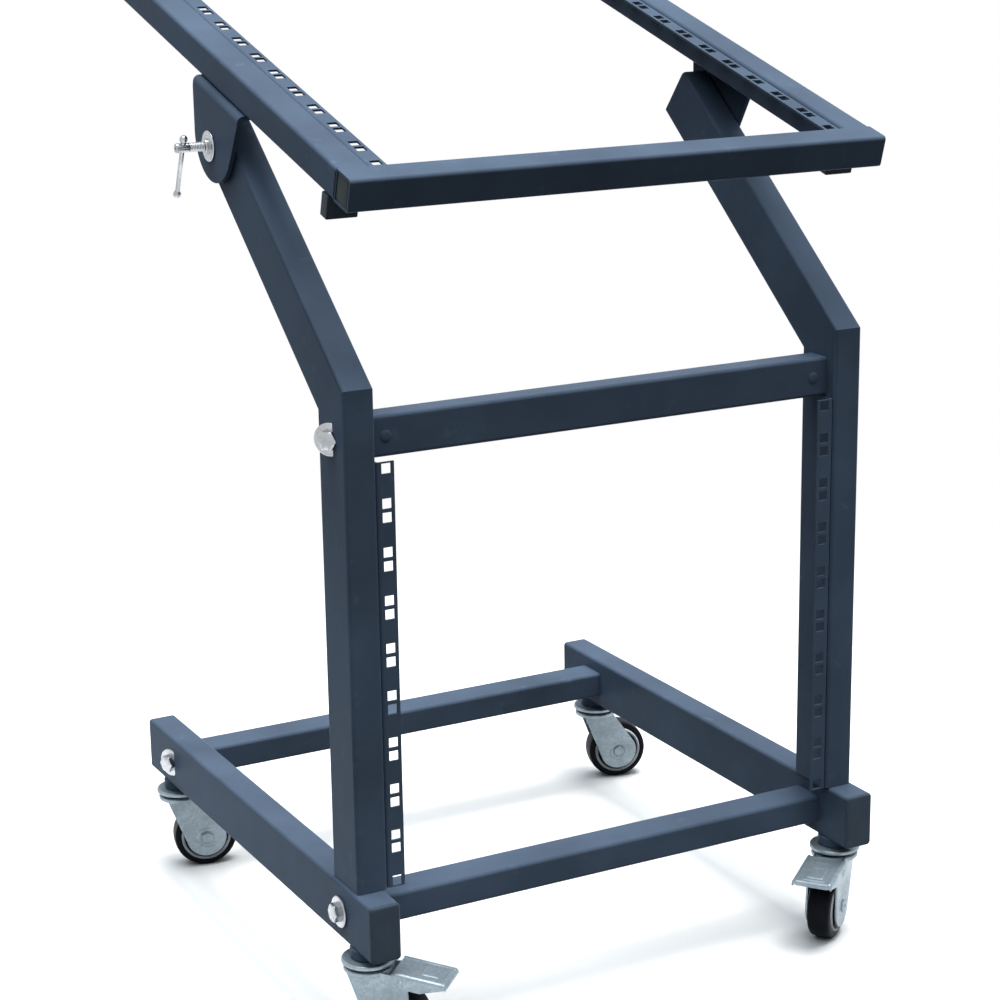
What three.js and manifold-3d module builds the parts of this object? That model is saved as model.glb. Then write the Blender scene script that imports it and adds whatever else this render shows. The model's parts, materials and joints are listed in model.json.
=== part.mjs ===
// A rolling equipment rack: a base on four swivel castors, two uprights that bend back into slanted
// arms with a 19-inch bay between them, and a second 19-inch frame that tilts on the tops of the arms.
// Millimetres. +X is to the right, +Y to the back and +Z up, and the rack faces -Y.

import * as THREE from 'three';
import { mergeVertices } from 'three/addons/utils/BufferGeometryUtils.js';
import Module from 'manifold-3d';

const wasm = await Module();
wasm.setup();

// 19-inch rack pattern
const rackUnitHeight = 44.45;
const rackColumnSpacing = 465.1;
const columnFromStripEdge = 7.55;
const squareHole = 9.5;
const holeFromUnitEdge = 6.35;
const upperUnits = 12;

// clearances
const seat = 0.3;
const boltClearance = 0.4;
const overrun = 6;

// tubes
const tubeWall = 2;
const tubeCorner = 3;
const tubeWidth = 30;
const railHeight = 55;
const uprightDepth = 55;
const crossTubeWide = 38;
const crossTubeThin = 28;
const topTubeHeight = 30;

// rack strips
const stripFace = 18;
const stripThickness = 2;
const stripFlange = 25;
const stripSetBack = 1.5;

// base
const railLength = 570;
const railOverhang = 32;
const railOutset = 3;
const railClearance = 100;
const frontCrossFromUprightFace = 34;
const rearCrossFromRailEnd = 68;
const endCapFlange = 3;
const endPlugLength = 12;
const endPlugRecess = 0.6;

// uprights and slanted arms
const bendHeight = 467;
const armLean = THREE.MathUtils.degToRad(50.8);
const armLength = 354;
const pivotFromArmEnd = 29;

// middle cross bar
const middleBarBelowBend = 47;
const rivetFromBarEnd = 16;
const rivetHeadDiameter = 11;
const rivetHeadHeight = 1.2;

// frame bolts
const boltDiameter = 10;
const boltHeadFlats = 16;
const boltHeadHeight = 6.4;
const washerDiameter = 30;
const washerThickness = 2.5;
const nutPlateThickness = 5;
const nutPlateFromBarEnd = 4;

// tilting rack frame
const tilt = THREE.MathUtils.degToRad(15.9);
const pivotFromFront = 288;
const pivotBelowTop = 82;
const stopFromFront = 40;
const stopDepth = 13;
const stopHeight = 22;

// pivot brackets and clamps
const bracketLength = 110;
const bracketPivotOffset = 5.5;
const bracketThickness = 4.2;
const bracketEndRadius = 45.5;
const bracketEndAbovePivot = 14;
const bracketFlange = 20;
const frictionPadDiameter = 40;
const frictionPadThickness = 1.8;
const clampWasherDiameter = 29;
const clampWasherThickness = 2.2;
const clampScrewDiameter = 9;
const clampCollarDiameter = 14.5;
const clampCollarLength = 3.2;
const clampScrewReach = 31;
const clampBushDiameter = 18.5;
const tommyBarFromScrewEnd = 7;
const tommyBarDiameter = 4.4;
const tommyBarLength = 66;
const tommyKnobDiameter = 8.2;
const tommyBarLean = THREE.MathUtils.degToRad(24);

// castors
const wheelDiameter = 68;
const tyreWidth = 24;
const tyreThickness = 8;
const tyreShoulder = 2.5;
const tyreRecess = 1;
const guardDiameter = 54;
const guardThickness = 1.9;
const guardRimWidth = 4.6;
const guardDish = 1.1;
const axleDiameter = 8.4;
const axleHeadDiameter = 12;
const axleHeadHeight = 2.4;
const castorTrail = 24;
const frontCastorFromUprightFace = 8;
const rearCastorFromRailEnd = 49;
const yokePlate = 2.5;
const yokeSideGap = 0.7;
const yokeEndRadius = 21.5;
const crownDiameter = 47;
const crownAboveWheel = 11.5;
const crownThickness = 3.6;
const ballRingDiameter = 39;
const ballRingHeight = 3.9;
const topPlateDiameter = 50.5;
const topPlateThickness = 3.4;
const bossDiameter = 34;
const stemDiameter = 10;
const stemHeadDiameter = 17.5;
const stemHeadHeight = 5;
const castorHeading = {
  left_front: -45,
  right_front: -142,
  left_rear: -13,
  right_rear: -15,
};

// brake pedals
const brakePivotAhead = 13;
const brakePivotAboveAxle = 41.5;
const brakeEarRadius = 5;
const brakePinDiameter = 4.5;
const pedalReach = 43;
const pedalBack = 9.2;
const pedalThickness = 2.1;
const pedalEarGap = 2.4;
const pedalWidth = 41;
const pedalLip = 4.8;
const pedalSkirtEnd = 19;
const pedalSkirtBelowPin = 4.5;
const pedalDroop = THREE.MathUtils.degToRad(7);
const brakeShoeLength = 6.4;
const brakeShoeWidth = 16;
const brakeShoeAhead = 10.4;
const brakeShoeDrop = 10.2;

// how finely round shapes are cut
const cornerSteps = 2;
const boltSides = 10;
const roundSides = 16;
const hexSides = 6;

// places that follow from the sizes above
const sides = { left: -1, right: 1 };
const openingHalf = rackColumnSpacing / 2 - columnFromStripEdge;
const innerHalf = openingHalf + stripFace;
const outerHalf = innerHalf + tubeWidth;
const tubeCentreX = outerHalf - tubeWidth / 2;
const barHalf = innerHalf - seat;
const railCentreX = tubeCentreX + railOutset;
const railTop = railClearance + railHeight;
const railMiddle = railClearance + railHeight / 2;
const railBack = railLength - railOverhang;
const rearCrossY = railBack - rearCrossFromRailEnd;
const middleBarZ = railTop + bendHeight - middleBarBelowBend;
const armDirection = new THREE.Vector2(Math.sin(armLean), Math.cos(armLean));
const armAcross = new THREE.Vector2(Math.cos(armLean), -Math.sin(armLean));
const bend = new THREE.Vector2(0, railTop + bendHeight);
const pivot = onArm(armLength - pivotFromArmEnd, uprightDepth / 2);

// materials
const paint = { color: 0x2f3d4c, roughness: 0.45, metalness: 0.35 };
const zinc = { color: 0xb9bfc4, roughness: 0.35, metalness: 0.9 };
const darkPlastic = { color: 0x1d2228, roughness: 0.6, metalness: 0 };
const rubber = { color: 0x17181b, roughness: 0.8, metalness: 0 };
const greyPlastic = { color: 0x9aa0a4, roughness: 0.55, metalness: 0 };

// A point of the slanted arm as (y, z): so far up from the bend, so far in from the front face
function onArm(up, inward) {
  return bend.clone().addScaledVector(armDirection, up).addScaledVector(armAcross, inward);
}

// Booleans on closed meshes
function toSolid(geometry) {
  const bare = geometry.clone();
  bare.deleteAttribute('normal');
  bare.deleteAttribute('uv');
  const merged = mergeVertices(bare);
  return new wasm.Manifold(new wasm.Mesh({
    numProp: 3,
    vertProperties: new Float32Array(merged.attributes.position.array),
    triVerts: new Uint32Array(merged.index.array),
  }));
}

function toGeometry(solid) {
  const mesh = solid.getMesh();
  const geometry = new THREE.BufferGeometry();
  geometry.setAttribute('position', new THREE.BufferAttribute(new Float32Array(mesh.vertProperties), 3));
  geometry.setIndex(new THREE.BufferAttribute(new Uint32Array(mesh.triVerts), 1));
  return geometry;
}

function join(...geometries) {
  return toGeometry(geometries.map(toSolid).reduce((whole, piece) => whole.add(piece)));
}

function cut(body, ...tools) {
  return toGeometry(toSolid(body).subtract(toSolid(join(...tools))));
}

function named(name, geometry, material) {
  const mesh = new THREE.Mesh(geometry, new THREE.MeshStandardMaterial({ ...material, flatShading: true }));
  mesh.name = name;
  return mesh;
}

function roundedRectangle(width, height, radius) {
  const quarters = [[1, 1], [-1, 1], [-1, -1], [1, -1]];
  return quarters.flatMap(([right, up], quarter) => (
    Array.from({ length: cornerSteps + 1 }, (unused, step) => {
      const angle = (quarter + step / cornerSteps) * Math.PI / 2;
      return new THREE.Vector2(
        right * (width / 2 - radius) + radius * Math.cos(angle),
        up * (height / 2 - radius) + radius * Math.sin(angle));
    })));
}

function tubeOutlines(width, height) {
  const bore = roundedRectangle(width - tubeWall * 2, height - tubeWall * 2, tubeCorner - tubeWall);
  return [roundedRectangle(width, height, tubeCorner), bore];
}

// Shapes are drawn with their length along Z. Turned to X, a drawn (x, y) becomes (-z, y), and
// turned to Y it becomes (x, z).
function turnTo(axis, geometry) {
  if (axis === 'x') {
    geometry.rotateY(Math.PI / 2);
  }
  if (axis === 'y') {
    geometry.rotateX(Math.PI / 2);
  }
  return geometry;
}

function extrusion(axis, shape, length) {
  const settings = { depth: length, bevelEnabled: false, curveSegments: boltSides / 2 };
  return turnTo(axis, new THREE.ExtrudeGeometry(shape, settings).translate(0, 0, -length / 2));
}

function tube(axis, width, height, length) {
  const [outside, bore] = tubeOutlines(width, height);
  const shape = new THREE.Shape(outside);
  shape.holes.push(new THREE.Path(bore));
  return extrusion(axis, shape, length);
}

function rod(axis, diameter, length, steps = boltSides) {
  const radius = diameter / 2;
  return turnTo(axis, new THREE.CylinderGeometry(radius, radius, length, steps).rotateX(Math.PI / 2));
}

function block(width, depth, height) {
  return new THREE.BoxGeometry(width, depth, height);
}

// A solid of revolution about Z from (radius, height) corners, counter-clockwise
function turned(corners) {
  const profile = [...corners, corners[0]].map(([radius, height]) => new THREE.Vector2(radius, height));
  return new THREE.LatheGeometry(profile, roundSides).rotateX(Math.PI / 2);
}

function ring(outer, bore, low, high) {
  const outside = outer / 2;
  const inside = bore / 2;
  return turned([[inside, low], [outside, low], [outside, high], [inside, high]]);
}

const rack = new THREE.Group();

// Castor heights, from the floor up: wheel, crown of the yoke, ball ring, top plate, boss of the rail
const axleZ = wheelDiameter / 2;
const crownBottomZ = wheelDiameter + crownAboveWheel;
const crownTopZ = crownBottomZ + crownThickness;
const ballRingTopZ = crownTopZ + seat + ballRingHeight;
const topPlateTopZ = ballRingTopZ + topPlateThickness;
const stemHole = stemDiameter + boltClearance * 2;
const castorYs = {
  front: frontCastorFromUprightFace,
  rear: railBack - rearCastorFromRailEnd,
};

// Base: two side rails, set a little further out than the uprights, each with two bosses that the
// castor stems screw into
const boltHole = boltDiameter + boltClearance * 2;
const railCentreY = (railBack - railOverhang) / 2;

function sideRail(side) {
  const x = side * railCentreX;
  const length = railLength - endCapFlange * 2 - seat * 2;
  const rail = tube('y', tubeWidth, railHeight, length).translate(x, railCentreY, railMiddle);
  const castorCentres = Object.values(castorYs);
  const bosses = castorCentres.map((y) => (
    ring(bossDiameter, stemHole, topPlateTopZ + seat, railClearance + tubeWall / 2).translate(x, y, 0)));
  const stemHoles = castorCentres.map((y) => (
    rod('z', stemHole, (railClearance - topPlateTopZ) * 2).translate(x, y, topPlateTopZ + tubeWall * 2)));
  const boltHoles = [frontCrossFromUprightFace, rearCrossY].map((y) => (
    rod('x', boltHole, tubeWidth + overrun).translate(x, y, railMiddle)));
  return cut(join(rail, ...bosses), ...stemHoles, ...boltHoles);
}

// A plastic cap over the end of a rail: -1 for the front end and 1 for the rear
function railCap(side, end) {
  const plugWidth = tubeWidth - tubeWall * 2 - tubeCorner;
  const plugHeight = railHeight - tubeWall * 2 - tubeCorner;
  const outline = new THREE.Shape(roundedRectangle(tubeWidth, railHeight, tubeCorner));
  const plug = block(plugWidth, endPlugLength, plugHeight)
    .translate(0, -end * (endCapFlange + endPlugLength) / 2, 0);
  return join(extrusion('y', outline, endCapFlange), plug)
    .translate(side * railCentreX, railCentreY + end * (railLength - endCapFlange) / 2, railMiddle);
}

// A bar between the two sides, with a plate inside each end that takes the bolt. The bars between
// the rails are longer than the one between the uprights by the rails' outset.
const nutPlateX = barHalf - nutPlateFromBarEnd - nutPlateThickness / 2;

function crossBar(height, depth, outset) {
  const plates = Object.values(sides).map((side) => (
    block(nutPlateThickness, depth - tubeWall, height - tubeWall)
      .translate(side * (nutPlateX + outset), 0, 0)));
  const bores = Object.values(sides).map((side) => (
    rod('x', boltDiameter + seat * 2, nutPlateThickness + overrun)
      .translate(side * (nutPlateX + outset), 0, 0)));
  return cut(join(tube('x', height, depth, (barHalf + outset) * 2), ...plates), ...bores);
}

function railBar(y) {
  return crossBar(crossTubeThin, crossTubeWide, railOutset).translate(0, y, railMiddle);
}

// The middle bar shows a rivet near each end of its front face
const middleBarY = uprightDepth / 2;

function middleBar() {
  const rivets = Object.values(sides).map((side) => (
    rod('y', rivetHeadDiameter, rivetHeadHeight * 2)
      .translate(side * (barHalf - rivetFromBarEnd), -crossTubeThin / 2, 0)));
  return join(crossBar(crossTubeWide, crossTubeThin, 0), ...rivets).translate(0, middleBarY, middleBarZ);
}

// A hex bolt on a large washer, through a rail or upright into the bar behind it
function frameBolt(side, y, z, outset) {
  const washerX = outerHalf + outset + seat;
  const headX = washerX + washerThickness;
  const shankEnd = nutPlateX + outset - nutPlateThickness / 2;
  const headDiameter = boltHeadFlats / Math.cos(Math.PI / hexSides);
  const spans = [
    { diameter: washerDiameter, from: washerX, to: headX, steps: boltSides },
    { diameter: headDiameter, from: washerX, to: headX + boltHeadHeight, steps: hexSides },
    { diameter: boltDiameter, from: shankEnd, to: headX, steps: boltSides },
  ];
  return join(...spans.map(({ diameter, from, to, steps }) => (
    rod('x', diameter, to - from, steps).translate(side * (from + to) / 2, y, z))));
}

// An upright: a tube mitred once and welded where it bends back. Each corner of its outlines runs
// straight up to the mitre and then straight along the arm.
function bentTube(x) {
  const stations = [
    (point, inward) => [x + point.x, inward, railTop + seat],
    (point, inward) => [x + point.x, inward, bend.y - inward * Math.tan(armLean / 2)],
    (point, inward) => [x + point.x, ...onArm(armLength, inward)],
  ];
  const outlines = tubeOutlines(tubeWidth, uprightDepth);
  const count = outlines[0].length;
  const positions = outlines.flatMap((outline) => stations.flatMap((station) => (
    outline.flatMap((point) => station(point, point.y + uprightDepth / 2)))));
  const outside = stations.map((station, index) => index * count);
  const bore = outside.map((start) => start + stations.length * count);
  const indices = [];
  const strip = (from, to) => {
    for (let corner = 0; corner < count; corner += 1) {
      const next = (corner + 1) % count;
      indices.push(from + corner, from + next, to + next, from + corner, to + next, to + corner);
    }
  };
  strip(outside[0], outside[1]);
  strip(outside[1], outside[2]);
  strip(outside[2], bore[2]);
  strip(bore[2], bore[1]);
  strip(bore[1], bore[0]);
  strip(bore[0], outside[0]);
  const geometry = new THREE.BufferGeometry();
  geometry.setAttribute('position', new THREE.BufferAttribute(new Float32Array(positions), 3));
  geometry.setIndex(indices);
  return geometry;
}

// The arm's end is closed by a welded plate, and a threaded bush for the clamp is welded inside it
const bushLength = tubeWidth - tubeWall;
const screwClearance = clampScrewDiameter + boltClearance * 2;

function upright(side) {
  const x = side * tubeCentreX;
  const plate = onArm(armLength - tubeWall / 2, uprightDepth / 2);
  const endPlate = block(tubeWidth - tubeWall, uprightDepth - tubeWall, tubeWall)
    .rotateX(-armLean)
    .translate(x, ...plate);
  const bush = rod('x', clampBushDiameter, bushLength).translate(x, ...pivot);
  const screwHole = rod('x', screwClearance, tubeWidth)
    .translate(side * (innerHalf + tubeWall * 2 + tubeWidth / 2), ...pivot);
  const boltBore = rod('x', boltHole, tubeWidth + overrun).translate(x, middleBarY, middleBarZ);
  return cut(join(bentTube(x), endPlate, bush), screwHole, boltBore);
}

// A folded strip: a face with the square holes, and a flange along the tube beside it. It is drawn
// with its length along Z and its face towards -Y.
function rackStrip(side, units) {
  const outerX = innerHalf - seat;
  const outline = new THREE.Shape([
    new THREE.Vector2(openingHalf, 0),
    new THREE.Vector2(outerX - stripThickness / 2, 0),
    new THREE.Vector2(outerX, stripThickness / 2),
    new THREE.Vector2(outerX, stripFlange),
    new THREE.Vector2(outerX - stripThickness, stripFlange),
    new THREE.Vector2(outerX - stripThickness, stripThickness),
    new THREE.Vector2(openingHalf, stripThickness),
  ]);
  const holes = Array.from({ length: units }, (unused, unit) => rackUnitHeight * (unit - units / 2))
    .flatMap((low) => [low + holeFromUnitEdge, low + rackUnitHeight - holeFromUnitEdge])
    .map((height) => block(squareHole, overrun, squareHole).translate(rackColumnSpacing / 2, 0, height));
  const strip = cut(extrusion('z', outline, rackUnitHeight * units - seat * 2), ...holes);
  return side > 0 ? strip : strip.rotateY(Math.PI);
}

// The lower strips have as many units as fit under the middle bar
const lowerUnits = Math.floor((middleBarZ - crossTubeWide / 2 - railTop - seat * 2) / rackUnitHeight);

function lowerStrip(side) {
  const middle = railTop + seat + rackUnitHeight * lowerUnits / 2;
  return rackStrip(side, lowerUnits).translate(0, stripSetBack, middle);
}

rack.add(
  named('front_cross_rail', railBar(frontCrossFromUprightFace), paint),
  named('rear_cross_rail', railBar(rearCrossY), paint),
  named('middle_cross_bar', middleBar(), paint),
);
Object.entries(sides).forEach(([name, side]) => rack.add(
  named(`${name}_side_rail`, sideRail(side), paint),
  named(`${name}_front_rail_cap`, railCap(side, -1), darkPlastic),
  named(`${name}_rear_rail_cap`, railCap(side, 1), darkPlastic),
  named(`${name}_upright`, upright(side), paint),
  named(`${name}_lower_rack_strip`, lowerStrip(side), paint),
  named(`${name}_front_rail_bolt`,
    frameBolt(side, frontCrossFromUprightFace, railMiddle, railOutset), zinc),
  named(`${name}_rear_rail_bolt`, frameBolt(side, rearCrossY, railMiddle, railOutset), zinc),
  named(`${name}_cross_bar_bolt`, frameBolt(side, middleBarY, middleBarZ, 0), zinc),
));

// Tilting frame, drawn about the pivot: Y runs back along the frame and Z up square to it
const tiltingFrame = new THREE.Group();
tiltingFrame.position.set(0, pivot.x, pivot.y);
tiltingFrame.rotation.x = tilt;
rack.add(tiltingFrame);

const frameFrontY = -pivotFromFront;
const bayStartY = frameFrontY + tubeWidth;
const bayLength = rackUnitHeight * upperUnits;
const bayCentreY = bayStartY + bayLength / 2;
const frameBackY = bayStartY + bayLength + tubeWidth;
const topTubeZ = pivotBelowTop - topTubeHeight / 2;
const underTubeZ = pivotBelowTop - topTubeHeight - seat;

function topBar(y) {
  return tube('x', topTubeHeight, tubeWidth, outerHalf * 2).translate(0, y, topTubeZ);
}

function topSideTube(side) {
  return tube('y', tubeWidth, topTubeHeight, bayLength - seat * 2)
    .translate(side * tubeCentreX, bayCentreY, topTubeZ);
}

// A flat plug pressed into the end of a bar, a little below its rim
function topBarPlug(side, y) {
  const inset = tubeWall * 2 + seat * 2;
  const outline = roundedRectangle(topTubeHeight - inset, tubeWidth - inset, tubeCorner - tubeWall);
  return extrusion('x', new THREE.Shape(outline), endPlugLength)
    .translate(side * (outerHalf - endPlugRecess - endPlugLength / 2), y, topTubeZ);
}

function upperStrip(side) {
  return rackStrip(side, upperUnits).rotateX(-Math.PI / 2)
    .translate(0, bayCentreY, pivotBelowTop - stripSetBack);
}

function stopBlock(side) {
  const y = frameFrontY + stopFromFront + stopDepth / 2;
  return block(tubeWidth, stopDepth, stopHeight)
    .translate(side * tubeCentreX, y, underTubeZ - stopHeight / 2);
}

// Along X from the arm outwards: friction pad and plate of the bracket, washer and collar of the screw
const padX = outerHalf + seat;
const plateX = padX + frictionPadThickness;
const clampWasherX = plateX + bracketThickness + seat;
const clampCollarX = clampWasherX + clampWasherThickness;
const clampCollarEndX = clampCollarX + clampCollarLength;
const screwEndX = clampCollarX + clampScrewReach;

// The bracket plate drawn as (y, z) about the pivot: a straight top and a wide round lower end
function bracketOutline() {
  const half = bracketLength / 2;
  const top = underTubeZ - bracketEndAbovePivot;
  const start = Math.atan2(top, half) - Math.acos(bracketEndRadius / Math.hypot(half, top));
  const arc = [bracketEndRadius, Math.PI - start, Math.PI * 2 + start];
  const outline = new THREE.Shape();
  outline.moveTo(half - bracketPivotOffset, underTubeZ);
  outline.lineTo(-half - bracketPivotOffset, underTubeZ);
  outline.absarc(-bracketPivotOffset, bracketEndAbovePivot, ...arc, false);
  return outline;
}

// An angle: its flange lies under the side tube and its plate hangs outside the arm
function pivotBracket(side) {
  const plate = extrusion('z', bracketOutline(), bracketThickness).rotateX(Math.PI / 2).rotateZ(Math.PI / 2)
    .translate(side * (plateX + bracketThickness / 2), 0, 0);
  const flangeWidth = plateX + bracketThickness - outerHalf + bracketFlange;
  const flangeX = outerHalf - bracketFlange + flangeWidth / 2;
  const flange = block(flangeWidth, bracketLength, bracketThickness)
    .translate(side * flangeX, -bracketPivotOffset, underTubeZ - bracketThickness / 2);
  const padLength = frictionPadThickness + bracketThickness / 2;
  const pad = rod('x', frictionPadDiameter, padLength, roundSides)
    .translate(side * (padX + padLength / 2), 0, 0);
  const holeLength = (frictionPadThickness + bracketThickness + overrun) * 2;
  const hole = rod('x', screwClearance, holeLength).translate(side * plateX, 0, 0);
  return cut(join(plate, flange, pad), hole);
}

tiltingFrame.add(
  named('rack_front_bar', topBar(frameFrontY + tubeWidth / 2), paint),
  named('rack_rear_bar', topBar(frameBackY - tubeWidth / 2), paint),
);
Object.entries(sides).forEach(([name, side]) => tiltingFrame.add(
  named(`${name}_rack_side_tube`, topSideTube(side), paint),
  named(`${name}_front_bar_plug`, topBarPlug(side, frameFrontY + tubeWidth / 2), darkPlastic),
  named(`${name}_rear_bar_plug`, topBarPlug(side, frameBackY - tubeWidth / 2), darkPlastic),
  named(`${name}_upper_rack_strip`, upperStrip(side), paint),
  named(`${name}_stop_block`, stopBlock(side), rubber),
  named(`${name}_pivot_bracket`, pivotBracket(side), paint),
));

// Clamps: a screw with a washer and a collar goes through each bracket into the bush in the arm, and
// a bar that slides through the screw's end turns it
const tommyBarX = screwEndX - tommyBarFromScrewEnd;

function clampScrew(side) {
  const spans = [
    { diameter: clampScrewDiameter, from: innerHalf + tubeWall * 2 + seat, to: screwEndX, steps: boltSides },
    { diameter: clampWasherDiameter, from: clampWasherX, to: clampCollarX, steps: roundSides },
    { diameter: clampCollarDiameter, from: clampWasherX, to: clampCollarEndX, steps: boltSides },
  ];
  const body = join(...spans.map(({ diameter, from, to, steps }) => (
    rod('x', diameter, to - from, steps).translate(side * (from + to) / 2, 0, 0))));
  const crossHole = rod('z', tommyBarDiameter + boltClearance * 2, clampScrewDiameter + overrun)
    .rotateX(tommyBarLean)
    .translate(side * tommyBarX, 0, 0);
  return cut(body, crossHole).translate(0, ...pivot);
}

// The bar has slid down through the screw until its upper knob stops it
function tommyBar(side) {
  const knobSpacing = tommyBarLength - tommyKnobDiameter;
  const upper = (clampScrewDiameter + tommyKnobDiameter) / 2 + seat;
  const knobs = [upper, upper - knobSpacing].map((z) => (
    new THREE.SphereGeometry(tommyKnobDiameter / 2, boltSides, boltSides / 2)
      .rotateX(Math.PI / 2)
      .translate(0, 0, z)));
  const shank = rod('z', tommyBarDiameter, knobSpacing).translate(0, 0, upper - knobSpacing / 2);
  return join(shank, ...knobs).rotateX(tommyBarLean).translate(side * tommyBarX, ...pivot);
}

Object.entries(sides).forEach(([name, side]) => rack.add(
  named(`${name}_clamp_screw`, clampScrew(side), zinc),
  named(`${name}_tommy_bar`, tommyBar(side), zinc),
));

// Castors. The head holds still: a stem with its lower head, the ball ring and a dished top plate.
function castorHead() {
  const headTop = crownBottomZ - seat;
  const stemTop = railClearance + tubeWall;
  const ballRing = ballRingDiameter / 2;
  const edge = topPlateDiameter / 2;
  return join(
    rod('z', stemHeadDiameter, stemHeadHeight).translate(0, 0, headTop - stemHeadHeight / 2),
    rod('z', stemDiameter, stemTop - headTop + seat).translate(0, 0, (stemTop + headTop - seat) / 2),
    turned([
      [0, crownTopZ + seat],
      [ballRing, crownTopZ + seat],
      [ballRing, ballRingTopZ],
      [edge - topPlateThickness, ballRingTopZ],
      [edge, ballRingTopZ - topPlateThickness / 2],
      [edge, topPlateTopZ - topPlateThickness / 2],
      [edge - topPlateThickness, topPlateTopZ],
      [0, topPlateTopZ],
    ]));
}

// The straight-sided outline that wraps a few circles, each [x, y, radius]
function wrapped(circles) {
  const points = circles.flatMap(([x, y, radius]) => (
    Array.from({ length: boltSides * 2 }, (unused, step) => {
      const angle = step / boltSides * Math.PI;
      return new THREE.Vector2(x + radius * Math.cos(angle), y + radius * Math.sin(angle));
    })));
  const turn = (a, b, c) => b.clone().sub(a).cross(c.clone().sub(a));
  const chain = (ordered) => ordered.reduce((kept, point) => {
    while (kept.length > 1 && turn(kept.at(-2), kept.at(-1), point) <= 0) {
      kept.pop();
    }
    return [...kept, point];
  }, []).slice(0, -1);
  points.sort((a, b) => a.x - b.x || a.y - b.y);
  return new THREE.Shape([...chain(points), ...chain([...points].reverse())]);
}

const wheelHalf = tyreWidth / 2;
const coreHalf = wheelHalf - tyreRecess;
const guardInnerY = coreHalf + seat;
const guardOuterY = guardInnerY + guardThickness;
const cheekInnerY = guardOuterY + yokeSideGap;
const cheekOuterY = cheekInnerY + yokePlate;
const axleHole = axleDiameter + boltClearance * 2;
const brakePinHole = brakePinDiameter + boltClearance * 2;
const brakePivotX = castorTrail + brakePivotAhead;
const brakePivotZ = axleZ + brakePivotAboveAxle;

// The cheeks are drawn as (ahead of the swivel, height) and stand on both sides of the wheel
function yoke(braked) {
  const shoulder = crownThickness / 2;
  const shoulderX = Math.sqrt((crownDiameter / 2) ** 2 - cheekOuterY ** 2) - shoulder;
  const circles = [
    [-shoulderX, crownTopZ - shoulder, shoulder],
    [shoulderX, crownTopZ - shoulder, shoulder],
    [castorTrail, axleZ, yokeEndRadius],
  ];
  const drills = [rod('y', axleHole, cheekOuterY * 2 + overrun).translate(castorTrail, 0, axleZ)];
  if (braked) {
    circles.push([brakePivotX, brakePivotZ, brakeEarRadius]);
    drills.push(rod('y', brakePinHole, cheekOuterY * 2 + overrun).translate(brakePivotX, 0, brakePivotZ));
  }
  const cheeks = [-1, 1].map((side) => (
    extrusion('y', wrapped(circles), yokePlate).translate(0, side * (cheekOuterY - yokePlate / 2), 0)));
  return cut(join(ring(crownDiameter, stemHole, crownBottomZ, crownTopZ), ...cheeks), ...drills);
}

function axle() {
  const headY = cheekOuterY + seat + axleHeadHeight / 2;
  const heads = [-1, 1].map((side) => (
    rod('y', axleHeadDiameter, axleHeadHeight).translate(0, side * headY, 0)));
  return join(rod('y', axleDiameter, headY * 2), ...heads).translate(castorTrail, 0, axleZ);
}

function wheelTurned(corners) {
  return turnTo('y', turned(corners)).translate(castorTrail, 0, axleZ);
}

function bothHalves(corners) {
  return [...corners, ...corners.map(([radius, height]) => [radius, -height]).reverse()];
}

function tyre() {
  const outside = wheelDiameter / 2;
  const guardSeat = guardDiameter / 2 + boltClearance;
  return wheelTurned(bothHalves([
    [outside - tyreThickness, -coreHalf],
    [guardSeat, -coreHalf],
    [guardSeat, -wheelHalf],
    [outside - tyreShoulder, -wheelHalf],
    [outside, -wheelHalf + tyreShoulder],
  ]));
}

// The core carries a dished guard on each side, inside the tyre's rim
function wheelCore() {
  const rim = wheelDiameter / 2 - tyreThickness - seat;
  const guard = guardDiameter / 2;
  return wheelTurned(bothHalves([
    [axleHole / 2, -guardOuterY + guardDish],
    [guard - guardRimWidth, -guardOuterY + guardDish],
    [guard - guardRimWidth, -guardOuterY],
    [guard, -guardOuterY],
    [guard, -guardInnerY],
    [rim, -guardInnerY],
  ]));
}

// The pedal is a plate over the cheeks' ears with a lip at its tip and skirts outside the cheeks. It
// turns on a pin through both, and its shoe comes down on the tyre.
function brakePedal() {
  const half = pedalWidth / 2;
  const under = brakeEarRadius + pedalEarGap;
  const top = under + pedalThickness;
  const plate = block(pedalReach + pedalBack, pedalWidth, pedalThickness)
    .translate((pedalReach - pedalBack) / 2, 0, top - pedalThickness / 2);
  const lip = block(pedalThickness, pedalWidth, pedalLip)
    .translate(pedalReach - pedalThickness / 2, 0, top - pedalLip / 2);
  const outline = new THREE.Shape([
    new THREE.Vector2(-pedalBack, top),
    new THREE.Vector2(-pedalBack, -pedalSkirtBelowPin),
    new THREE.Vector2(pedalSkirtEnd, -pedalSkirtBelowPin),
    new THREE.Vector2(pedalReach, top - pedalLip),
    new THREE.Vector2(pedalReach, top),
  ]);
  const skirts = [-1, 1].map((side) => (
    extrusion('y', outline, pedalThickness).translate(0, side * (half - pedalThickness / 2), 0)));
  const saddle = block(brakePinDiameter, brakeShoeWidth, top).translate(0, 0, top / 2);
  const shoe = block(brakeShoeLength, brakeShoeWidth, brakeShoeDrop + top)
    .translate(brakeShoeAhead, 0, (top - brakeShoeDrop) / 2);
  const pin = rod('y', brakePinDiameter, pedalWidth);
  return join(plate, lip, ...skirts, saddle, shoe, pin)
    .rotateY(pedalDroop)
    .translate(brakePivotX, 0, brakePivotZ);
}

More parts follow.
